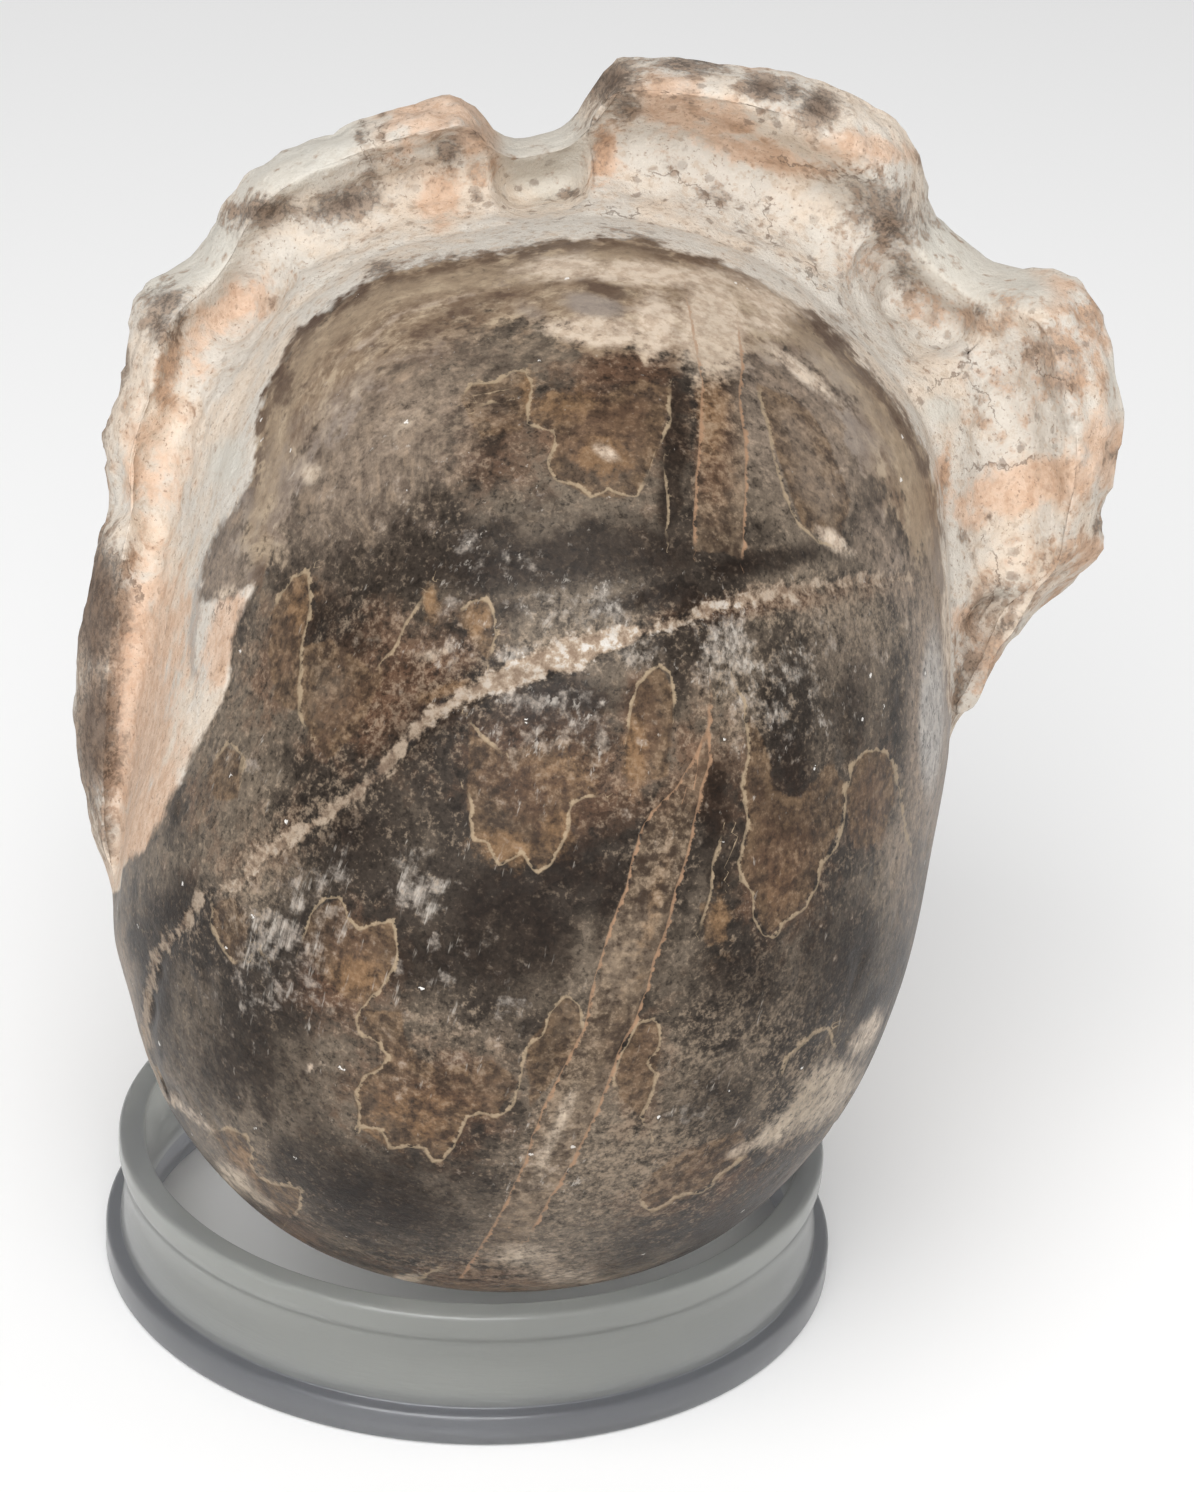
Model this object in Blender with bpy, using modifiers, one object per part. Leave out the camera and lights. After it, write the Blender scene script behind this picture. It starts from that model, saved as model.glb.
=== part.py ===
"""A vascoceras ammonite fossil standing on a clear display ring.

The fossil is one stone. Its inner whorls are a polished, egg-shaped bulb that looks out of the last
whorl, whose broken edge stands round the bulb as a thick, scalloped hood. The stone leans back on a
lathe-turned ring of clear plastic.

Frame: metres, +Z up. The origin is the centre of the whole object's box, on the surface that it
stands on. The open side of the hood faces -Y.

The stone is modelled in a frame of its own: x to the right, y up along the coil and z out of the
hood, with its origin inside the bulb. Angles there are degrees round z, from x towards y.
"""
import math

import bpy
import numpy as np

MM = 0.001

# The stone in its own frame, in millimetres and degrees
BULB_FRONT = 45.0
BACK_DEPTH = 52.0
BACK_FULLNESS = 2.1
# Outline of the stone seen from the front, without the notches of the hood: (angle, distance)
EDGE = ((-5, 32.0), (2, 34.6), (9, 38.2), (12, 41.2), (15, 46.4), (20, 48.7), (26, 52.0), (33, 54.3),
        (39, 56.0), (48, 57.0), (58, 56.6), (66, 56.5), (74, 55.8), (84, 54.9), (92, 53.9),
        (100, 52.5), (110, 52.3), (124, 52.6), (132, 51.0), (137, 50.3), (142, 47.9), (150, 46.2),
        (160, 42.9), (172, 42.0), (184, 41.8), (195, 42.5), (204, 43.3), (213, 44.4), (221, 46.8),
        (231, 48.9), (243, 50.2), (254, 50.0), (268, 48.8), (284, 46.4), (300, 42.0), (319, 36.5),
        (338, 32.6))
# Where the bulb's own egg shape would reach, behind the hood
BULB = ((-5, 32.0), (13, 32.8), (25, 35.0), (38, 38.3), (52, 40.0), (66, 41.5), (84, 42.2),
        (100, 41.8), (116, 42.5), (126, 41.6), (137, 39.2), (151, 36.4), (162, 35.2), (174, 34.9),
        (187, 37.0), (198, 40.6), (206, 43.0), (213, 44.4), (221, 46.8), (231, 48.9), (243, 50.2),
        (254, 50.0), (268, 48.8), (284, 46.4), (300, 42.0), (319, 36.5), (338, 32.6))
# Share of the bulb's reach at which the trough of the hood meets it
CONTACT = ((-5, 0.985), (20, 0.985), (50, 0.968), (90, 0.958), (120, 0.950), (150, 0.930),
           (175, 0.925), (195, 0.940), (210, 0.960), (280, 0.970), (330, 0.980))
# Height of the hood's crest along z
CREST = ((-5, 3.0), (14, 6.0), (30, 9.0), (50, 11.0), (80, 13.5), (110, 12.5), (140, 10.0),
         (170, 8.0), (195, 4.0), (210, 1.0), (280, 0.0), (330, 0.0))
TROUGH_DEPTH = ((-5, 1.5), (15, 3.0), (45, 4.5), (90, 5.0), (130, 4.5), (160, 3.2), (190, 2.0),
                (210, 1.0), (280, 0.5), (330, 0.5))
CREST_DROP = 6.0
HOOD_ENDS = ((-7.0, 3.0), (194.0, 207.0))
# Grooves across the hood's edge: (angle, half width, how square, cut into the outline, drop)
NOTCHES = ((93.3, 5.0, 4.0, 4.6, 6.5), (50.3, 7.2, 3.0, 4.8, 6.0), (129.0, 4.5, 2.0, 1.3, 3.0),
           (155.5, 3.0, 2.0, 0.7, 1.0), (13.0, 2.5, 2.0, 0.9, 1.5))
# Pillows between them, as bumps of the crest: (angle, half width, height)
PILLOWS = ((28, 9, 1.6), (72, 10, 1.8), (84, 4, 0.8), (107, 7, 1.4), (119, 5, 0.8), (140, 6, 1.2),
           (166, 9, 1.0), (182, 7, 0.8))
# The axis of the coil, its winding and the low ribs over the back of the last whorl
COIL_LEAN = 13.6
COIL_TURN = 10.0
RIB_STEP = 17.0
RIB_HEIGHT = 1.1
RIB_BEND = 0.012
# The umbilical pits: (x, y, z, radius, depth)
PITS = ((-40.0, 3.0, -13.0, 7.5, 5.5), (36.0, 3.0, -15.0, 7.0, 5.0))
PIT_SHOULDER = 1.2
HOOD_COLUMNS = 76
LOWER_COLUMNS = 30
BULB_ROWS = 12
HOOD_ROWS = 11
BACK_ROWS = 14

# The centre of the ring's foot, and the stone's place from there
STAND_CENTRE = (-8.5 * MM, -0.5 * MM, 0.0)
STONE_PLACE = (7.0 * MM, -3.3 * MM, 54.6 * MM)
STONE_RECLINE = 65.0
STONE_ROLL = 3.2

# The ring, in metres
RING_RADIUS = 32.5 * MM
RING_BORE = 29.0 * MM
RING_HEIGHT = 12.0 * MM
FOOT_HEIGHT = 2.9 * MM
FOOT_BEVEL = 0.5 * MM
GROOVE_RADIUS = 31.2 * MM
GROOVE_TOP = 3.9 * MM
WAIST_RADIUS = 30.6 * MM
LIP_RADIUS = 31.4 * MM
LIP_HEIGHT = 2.0 * MM
RING_STEPS = 72


def clear_scene():
    for item in list(bpy.data.objects):
        bpy.data.objects.remove(item, do_unlink=True)


def new_collection(name):
    group = bpy.data.collections.new(name)
    bpy.context.scene.collection.children.link(group)
    return group


def material(name, colour, roughness, metallic=0.0, alpha=1.0):
    made = bpy.data.materials.new(name)
    made.use_nodes = True
    shader = made.node_tree.nodes["Principled BSDF"]
    shader.inputs["Base Color"].default_value = (*colour, 1.0)
    shader.inputs["Roughness"].default_value = roughness
    shader.inputs["Metallic"].default_value = metallic
    shader.inputs["Alpha"].default_value = alpha
    return made


def round_trip(points, angles):
    """A smooth closed curve through (angle, value) points: cubic pieces whose slope at each point
    is that of the parabola through it and its neighbours."""
    knots = np.array(points, float)
    at = np.concatenate([knots[-2:, 0] - 360, knots[:, 0], knots[:2, 0] + 360])
    value = np.concatenate([knots[-2:, 1], knots[:, 1], knots[:2, 1]])
    slope = np.gradient(value, at)
    turned = (np.asarray(angles, float) - at[1]) % 360 + at[1]
    i = np.clip(np.searchsorted(at, turned, side="right") - 1, 0, len(at) - 2)
    span = at[i + 1] - at[i]
    t = (turned - at[i]) / span
    start = (2 * t**3 - 3 * t**2 + 1) * value[i] + (t**3 - 2 * t**2 + t) * span * slope[i]
    end = (3 * t**2 - 2 * t**3) * value[i + 1] + (t**3 - t**2) * span * slope[i + 1]
    return start + end


def ease(low, high, x):
    """0 below low, 1 above high, and a smooth step between."""
    t = np.clip((x - low) / (high - low), 0, 1)
    return t * t * (3 - 2 * t)


def angle_from(angles, centre):
    """The signed turn from centre, between -180 and 180."""
    return (angles - centre + 180) % 360 - 180


def notch_cuts(angles):
    """How far the notches cut into the outline, and how far they lower the crest."""
    cut = np.zeros_like(angles)
    drop = np.zeros_like(angles)
    for centre, width, square, depth, fall in NOTCHES:
        bump = np.exp(-(np.abs(angle_from(angles, centre)) / width) ** square)
        cut += depth * bump
        drop += fall * bump
    return cut, drop


def crest_height(angles):
    height = round_trip(CREST, angles)
    for centre, width, rise in PILLOWS:
        height += rise * np.exp(-(angle_from(angles, centre) / width) ** 2)
    return height - notch_cuts(angles)[1]


def hood_share(angles):
    """1 round the hood and 0 below its ends, where the bulb runs on to the back."""
    turned = angle_from(angles, 100.0) + 100.0
    (start, whole), (ends, gone) = HOOD_ENDS
    return ease(start, whole, turned) * (1 - ease(ends, gone, turned))


def through(points, share):
    """A Catmull-Rom curve through four points, as share goes from 0 to 1. Each point is an array
    over the angles."""
    first = 2 * points[0] - points[1]
    last = points[3] + (points[3] - points[2]) * np.array([0.0, 1.0])
    row = [first, *points, last]
    i = min(int(share * 3), 2)
    t = share * 3 - i
    a, b, c, d = row[i:i + 4]
    return 0.5 * (2 * b + (c - a) * t + (2 * a - 5 * b + 4 * c - d) * t**2
                  + (3 * b - a - 3 * c + d) * t**3)


def pair(distance, height):
    return np.stack([distance, height], axis=-1)


def sections(angles):
    """Each angle's section, from the front pole over the bulb, the trough, the hood's crest and the
    outline to the back pole, as rows of (distance from the axis, height)."""
    edge = round_trip(EDGE, angles) - notch_cuts(angles)[0]
    bulb = round_trip(BULB, angles)
    touch = np.arcsin(round_trip(CONTACT, angles))
    hood = hood_share(angles)[:, None]
    crest = crest_height(angles)
    contact = pair(bulb * np.sin(touch), BULB_FRONT * np.cos(touch))
    width = edge - contact[:, 0]
    floor = pair(contact[:, 0] + 0.38 * width,
                 np.minimum(contact[:, 1], crest + 2) - round_trip(TROUGH_DEPTH, angles))
    top = pair(edge - 0.33 * width, crest)
    rim = pair(edge, crest - CREST_DROP)
    rows = []
    for step in range(1, BULB_ROWS + 1):
        lean = touch * step / BULB_ROWS
        rows.append(pair(bulb * np.sin(lean), BULB_FRONT * np.cos(lean)))
    for step in range(1, HOOD_ROWS + 1):
        share = step / HOOD_ROWS
        lean = touch + (np.pi / 2 - touch) * share
        plain = pair(bulb * np.sin(lean), BULB_FRONT * np.cos(lean))
        rows.append(plain + hood * (through([contact, floor, top, rim], share) - plain))
    start = rows[-1]
    for step in range(1, BACK_ROWS):
        lean = np.pi / 2 * step / BACK_ROWS
        out = np.cos(lean) ** (2 / BACK_FULLNESS)
        down = np.sin(lean) ** (2 / BACK_FULLNESS)
        rows.append(pair(start[:, 0] * out, start[:, 1] - (BACK_DEPTH + start[:, 1]) * down))
    return np.stack(rows)


def coil_axes():
    """The coil's axis, its up direction and the direction in which it looks, in the stone's frame."""
    lean, turn = math.radians(COIL_LEAN), math.radians(COIL_TURN)
    axis = np.array([math.cos(lean) * math.cos(turn), -math.sin(lean) * math.cos(turn),
                     -math.sin(turn)])
    up = np.array([math.sin(lean), math.cos(lean), 0.0])
    return axis, up, np.cross(axis, up)


def ribbed(points):
    """Low ribs over the back of the last whorl, bent forwards on the flanks, moved along the radius
    of the coil, with the grooves of the notches running on between them."""
    axis, up, out = coil_axes()
    across = points @ axis
    along = np.degrees(np.arctan2(points @ up, points @ out)) % 360
    phase = along + RIB_BEND * across**2
    behind = ease(2, 16, -points[..., 2])
    wave = RIB_HEIGHT * np.cos(2 * np.pi * phase / RIB_STEP)
    radial = points - across[..., None] * axis
    radial /= np.maximum(np.linalg.norm(radial, axis=-1, keepdims=True), 1.0)
    flank = 1 - ease(26, 40, np.abs(across))
    return points + radial * (wave * behind * flank)[..., None]


def pitted(points):
    """The umbilical pits, each a round hollow with a low shoulder, moved towards the stone's inside."""
    moved = points.copy()
    for x, y, z, radius, depth in PITS:
        away = np.linalg.norm(points - (x, y, z), axis=-1)
        hollow = depth * np.exp(-(away / radius) ** 2 * 1.4)
        shoulder = PIT_SHOULDER * np.exp(-((away - 1.5 * radius) / (0.5 * radius)) ** 2)
        inward = -np.array([x, y, z]) / np.linalg.norm((x, y, z))
        moved += (hollow - shoulder)[..., None] * inward
    return moved


def column_angles():
    """The angles of the sections, close together round the hood and wider apart below it."""
    start, end = HOOD_ENDS[0][0], HOOD_ENDS[1][1]
    hood = np.linspace(start, end, HOOD_COLUMNS, endpoint=False)
    lower = np.linspace(end, start + 360, LOWER_COLUMNS, endpoint=False)
    return np.concatenate([hood, lower])


def stone_points(angles):
    """The stone's surface as rows of points, one column for each angle."""
    profile = sections(angles)
    turn = np.radians(angles)
    flat = profile[..., 0]
    points = np.stack([flat * np.cos(turn), flat * np.sin(turn), profile[..., 1]], axis=-1)
    return pitted(ribbed(points))


def closed_mesh(name, rows, first, last):
    """A mesh of rings joined row to row, closed by a fan to a point at each end."""
    count, width = rows.shape[:2]
    vertices = np.concatenate([[first], rows.reshape(-1, 3), [last]]) * MM
    end = len(vertices) - 1
    faces = []
    for i in range(width):
        after = (i + 1) % width
        faces.append((0, 1 + i, 1 + after))
        faces.append((end, end - width + after, end - width + i))
        for j in range(count - 1):
            low = 1 + j * width
            faces.append((low + i, low + width + i, low + width + after, low + after))
    made = bpy.data.meshes.new(name)
    made.from_pydata([tuple(v) for v in vertices], [], faces)
    made.shade_smooth()
    return made


def make_stand_centre(group):
    """The empty that carries the stone and the ring."""
    centre = bpy.data.objects.new("stand_centre", None)
    centre.location = STAND_CENTRE
    group.objects.link(centre)
    return centre


def make_stone(group, centre):
    rows = stone_points(column_angles())
    front = (0.0, 0.0, BULB_FRONT)
    back = (0.0, 0.0, -BACK_DEPTH)
    stone = bpy.data.objects.new("ammonite", closed_mesh("ammonite", rows, front, back))
    stone.rotation_mode = "ZYX"
    stone.rotation_euler = (math.radians(STONE_RECLINE), 0.0, math.radians(STONE_ROLL))
    stone.location = STONE_PLACE
    stone.parent = centre
    stone.data.materials.append(material("fossil_stone", (0.30, 0.22, 0.16), 0.45))
    group.objects.link(stone)


def ring_profile():
    """The ring's section at +X, from the top of its lip down its outer side and up its bore."""
    return [
        (RING_BORE + 0.4 * MM, RING_HEIGHT),
        (LIP_RADIUS - 0.7 * MM, RING_HEIGHT),
        (LIP_RADIUS, RING_HEIGHT - 0.6 * MM),
        (LIP_RADIUS, RING_HEIGHT - LIP_HEIGHT),
        (WAIST_RADIUS, RING_HEIGHT - 2 * LIP_HEIGHT),
        (GROOVE_RADIUS, GROOVE_TOP),
        (GROOVE_RADIUS, FOOT_HEIGHT),
        (RING_RADIUS - FOOT_BEVEL, FOOT_HEIGHT),
        (RING_RADIUS, FOOT_HEIGHT - FOOT_BEVEL),
        (RING_RADIUS, FOOT_BEVEL),
        (RING_RADIUS - FOOT_BEVEL, 0.0),
        (RING_BORE, 0.0),
        (RING_BORE, RING_HEIGHT - 0.4 * MM),
    ]


def make_ring(group, centre):
    """The display ring, its section turned once round Z."""
    corners = ring_profile()
    count = len(corners)
    outline = bpy.data.meshes.new("display_ring")
    edges = [(i, (i + 1) % count) for i in range(count)]
    outline.from_pydata([(x, 0.0, z) for x, z in corners], edges, [])
    ring = bpy.data.objects.new("display_ring", outline)
    ring.parent = centre
    turn = ring.modifiers.new("turned", "SCREW")
    turn.steps = RING_STEPS
    turn.render_steps = RING_STEPS
    turn.use_merge_vertices = True
    turn.merge_threshold = 0.00005
    turn.use_smooth_shade = True
    ring.data.materials.append(material("clear_plastic", (0.75, 0.77, 0.78), 0.12, alpha=0.35))
    group.objects.link(ring)


def main():
    clear_scene()
    group = new_collection("vascoceras_ammonite")
    centre = make_stand_centre(group)
    make_stone(group, centre)
    make_ring(group, centre)


main()
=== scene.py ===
"""The looks of a vascoceras ammonite fossil that stands on a clear display ring.

The stone is one closed surface, worked out with numpy from the same curves as its solid: a polished
bulb of inner whorls, the scalloped hood that the broken last whorl makes round it, and the whorl's
back. Its veins, suture lines and stains are drawn as distances to lines and patches, which the
surface keeps for its material. The ring is a profile turned round its axis.

World: metres, +Z up, the bulb facing -Y. Stone: millimetres, x to the right, y up along the coil
and z out of the hood, with angles in degrees round z from x towards y. Picture: pixels of a frame
of 1194 by 1492, x to the right and y down, as the camera sees the object.
"""
import math

import bpy
import numpy as np
from mathutils import Matrix, Vector


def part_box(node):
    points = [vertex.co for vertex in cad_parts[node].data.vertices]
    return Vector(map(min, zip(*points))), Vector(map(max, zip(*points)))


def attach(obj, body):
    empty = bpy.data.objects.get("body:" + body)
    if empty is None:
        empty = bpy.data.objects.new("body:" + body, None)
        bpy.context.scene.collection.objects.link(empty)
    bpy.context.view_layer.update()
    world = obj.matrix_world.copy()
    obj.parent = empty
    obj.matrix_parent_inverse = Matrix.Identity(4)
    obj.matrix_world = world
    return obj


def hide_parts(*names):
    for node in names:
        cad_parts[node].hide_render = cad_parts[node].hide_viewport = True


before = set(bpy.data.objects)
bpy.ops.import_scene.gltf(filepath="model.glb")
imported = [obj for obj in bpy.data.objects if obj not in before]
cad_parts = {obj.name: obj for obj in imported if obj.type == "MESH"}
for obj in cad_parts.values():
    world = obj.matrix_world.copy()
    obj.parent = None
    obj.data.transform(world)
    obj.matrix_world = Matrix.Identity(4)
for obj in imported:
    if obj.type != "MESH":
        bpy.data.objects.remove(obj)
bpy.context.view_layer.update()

MM = 0.001
# The picture, the lens's focal length in its pixels, and the height of the camera's sensor
PICTURE_WIDTH = 1194
PICTURE_HEIGHT = 1492
FOCAL_PIXELS = 4160.0
SENSOR_HEIGHT = 36.0

# The ring's place and size come from the frame, and the rest hangs on them
ring_low, ring_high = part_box("display_ring")
RING_CENTRE = np.array([(ring_low[0] + ring_high[0]) / 2, (ring_low[1] + ring_high[1]) / 2, ring_low[2]])
RING_RADIUS = (ring_high[0] - ring_low[0]) / 2 / MM
RING_HEIGHT = (ring_high[2] - ring_low[2]) / MM

# The camera, in millimetres from the ring's centre, and its angles in degrees
CAMERA_PLACE = (9.2, -322.1, 200.1)
CAMERA_DOWN = 25.0
CAMERA_ROLL = 3.2

# The stone's place on the ring
STONE_PLACE = (7.0, -3.3, 54.6)
STONE_RECLINE = 65.0
STONE_ROLL = 3.2

# The stone's reach before and behind its outline, and the power of the back's superellipse
BULB_FRONT = 45.0
BACK_DEPTH = 52.0
BACK_FULLNESS = 2.1
# The outlines of the stone and of its bulb round the front view, as in the solid: (angle, radius)
BELOW_HOOD = ((213, 44.4), (221, 46.8), (231, 48.9), (243, 50.2), (254, 50.0), (268, 48.8), (284, 46.4),
              (300, 42.0), (319, 36.5), (338, 32.6))
EDGE = ((-5, 32.0), (2, 34.6), (9, 38.2), (12, 41.2), (15, 46.4), (20, 48.7), (26, 52.0), (33, 54.3),
        (39, 56.0), (48, 57.0), (58, 56.6), (66, 56.5), (74, 55.8), (84, 54.9), (92, 53.9),
        (100, 52.5), (110, 52.3), (124, 52.6), (132, 51.0), (137, 50.3), (142, 47.9), (150, 46.2),
        (160, 42.9), (172, 42.0), (184, 41.8), (195, 42.5), (204, 43.3)) + BELOW_HOOD
BULB = ((-5, 32.0), (13, 32.8), (25, 35.0), (38, 38.3), (52, 40.0), (66, 41.5), (84, 42.2),
        (100, 41.8), (116, 42.5), (126, 41.6), (137, 39.2), (151, 36.4), (162, 35.2), (174, 34.9),
        (187, 37.0), (198, 40.6), (206, 43.0)) + BELOW_HOOD
# The share of the bulb's radius at which the trough begins: (angle, share)
CONTACT = ((-5, 0.985), (20, 0.985), (50, 0.968), (90, 0.958), (120, 0.950), (150, 0.930),
           (175, 0.925), (195, 0.940), (210, 0.960), (280, 0.970), (330, 0.980))
# The crest's height and the trough's depth: (angle, value)
CREST = ((-5, 3.0), (14, 6.0), (30, 9.0), (50, 11.0), (80, 13.5), (110, 12.5), (140, 10.0),
         (170, 8.0), (195, 4.0), (210, 1.0), (280, 0.0), (330, 0.0))
TROUGH_DEPTH = ((-5, 1.5), (15, 3.0), (45, 4.5), (90, 5.0), (130, 4.5), (160, 3.2), (190, 2.0),
                (210, 1.0), (280, 0.5), (330, 0.5))
# The trough's floor from the contact and the crest from the outline, as shares of the way between
TROUGH_SHARE = 0.38
CREST_SHARE = 0.33
# How far the floor may start above the crest, and how far the rim lies under it
FLOOR_OVER_CREST = 2
CREST_DROP = 6.0
# The angles over which the hood rises and dies out, and the middle of its turn
HOOD_ENDS = ((-7.0, 3.0), (194.0, 207.0))
HOOD_MIDDLE = 100.0
# The hood's notches: (angle, width, squareness, cut into the outline, fall of the crest)
NOTCHES = ((93.3, 5.0, 4.0, 4.6, 6.5), (50.3, 7.2, 3.0, 4.8, 6.0), (129.0, 4.5, 2.0, 1.3, 3.0),
           (155.5, 3.0, 2.0, 0.7, 1.0), (13.0, 2.5, 2.0, 0.9, 1.5))
# The pillows between them: (angle, width, rise)
PILLOWS = ((28, 9, 1.6), (72, 10, 1.8), (84, 4, 0.8), (107, 7, 1.4), (119, 5, 0.8), (140, 6, 1.2),
           (166, 9, 1.0), (182, 7, 0.8))
# The coil's axis, in degrees
COIL_LEAN = 13.6
COIL_TURN = 10.0
# The ribs, with the depths over which they rise and the distances over which they die out
RIB_STEP = 17.0
RIB_HEIGHT = 1.1
RIB_BEND = 0.012
RIB_START = (2, 16)
RIB_END = (26, 40)
# The umbilical pits: (x, y, z, radius, depth)
PITS = ((-40.0, 3.0, -13.0, 7.5, 5.5), (36.0, 3.0, -15.0, 7.0, 5.0))
PIT_STEEPNESS = 1.4
# The low ring round each pit: its height, and its radius and width in the pit's radii
PIT_SHOULDER = 1.2
SHOULDER_RADIUS = 1.5
SHOULDER_WIDTH = 0.5

# How finely the stone's surface is divided
COLUMNS = 512
BULB_ROWS = 98
HOOD_ROWS = 46
BACK_ROWS = 46
# How far its end points stand inside the bulb's front and the back's depth
FRONT_INSET = 0.1
BACK_INSET = 0.5
# The least that the fine surface lies under the curves, as the faceted solid does
SKIN = 0.28

# The wear's noises: (size, seed)
LUMPS = (8.0, 11)
LEDGES = (4.2, 31)
CHIPS = (2.4, 53)
WAVES = (11.0, 71)
PITTING = (1.7, 91)
LEDGE_STRETCH = (1.0, 1.0, 1.6)
# How deep each presses into the broken stone, the polished bulb and the crumbled vein
LUMP_DEPTH = 0.75
LEDGE_DEPTH = 0.5
CHIP_DEPTH = 0.35
WAVE_DEPTH = 0.16
PITTING_DEPTH = 0.10
VEIN_DEPTH = 0.18
VEIN_CHIP_DEPTH = 0.22
VEIN_PITTING_DEPTH = 0.12
# The angles over which the smooth left wall begins, and how far walls and valleys are calmed
LEFT_WALL = (150, 168)
WALL_CALM = 0.6
VALLEY_CALM = 0.75

# Streaks along the whorl: the radius that they run on, and their stretch for each pixel across
WHORL_RADIUS = 16.0
WHORL_STRETCH = 0.11

# How far each noise's lattice is moved from the last one's, and how its layers weaken
LATTICE_SHIFT = np.array([0.377, 0.614, 0.233])
LAYER_FADE = 0.55
# Large odd numbers that mix the bits of a lattice corner and of the result, and the bits kept
CORNER_MIXERS = (73856093, 19349663, 83492791)
SEED_MIXER = 2654435761
RESULT_MIXERS = (2246822519, 3266489917)
ALL_BITS = 0xFFFFFFFF

# How far from its line, in pixels, a line's noise may draw it
LINE_REACH = 12.0
# How far the fields reach, in pixels: round lines, round borders, and where nothing is near
LINE_FAR = 60
BORDER_FAR = 40
FAR_AWAY = 1e9
# How far the hood is taken out of the dark whorls, and the picture's scale for the back's border
HOOD_FAR = 60
PIXELS_PER_MM = 12
# How fast a patch's bell falls
BELL_FALL = 0.7

# Where the dark whorls give way to the pale last whorl, on the picture
DARK_WHORLS = ((262, 392), (269, 380), (299, 329), (338, 299), (376, 274), (436, 261), (509, 252),
               (560, 240), (632, 236), (670, 250), (718, 260), (766, 284), (818, 317), (857, 360),
               (895, 403), (924, 446), (938, 489), (943, 547), (945, 628), (948, 700), (960, 748),
               (1040, 800), (1040, 1450), (30, 1450), (60, 1000), (82, 880), (105, 872), (130, 860),
               (152, 838), (168, 800), (184, 768), (198, 745), (214, 720), (226, 692), (230, 660),
               (235, 632), (240, 610), (249, 594), (262, 573), (247, 590), (232, 598), (203, 604),
               (200, 590), (204, 568), (214, 540), (228, 515), (245, 490), (254, 462), (256, 430))
# The smooth shell that covers the bulb's upper rim
SHELL = ((250, 590), (240, 500), (250, 400), (299, 320), (338, 292), (376, 266), (509, 240),
         (632, 225), (718, 250), (818, 307), (895, 393), (936, 440), (955, 540), (958, 760),
         (946, 646), (933, 573), (912, 552), (884, 490), (855, 469), (847, 412), (845, 401),
         (772, 352), (700, 372), (640, 350), (560, 346), (540, 322), (480, 326), (430, 345),
         (380, 376), (340, 420), (310, 460), (290, 510), (275, 560))
# The dark whorls' border across the back: a parabola through three (x, y) places, with folds
BACK_BORDER = ((-40.0, -14.0), (0.0, -24.0), (33.0, -1.0))
BACK_FOLD = 2.2
BACK_FOLD_LENGTH = 9.0
# The patches of colour that noise gives the back: their size, the first seed and its step
BACK_PATCH = 11.0
BACK_SEED = 300
BACK_SEED_STEP = 10
# The clouds' noise: (size, seed)
CLOUDS = (9.0, 211)

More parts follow.
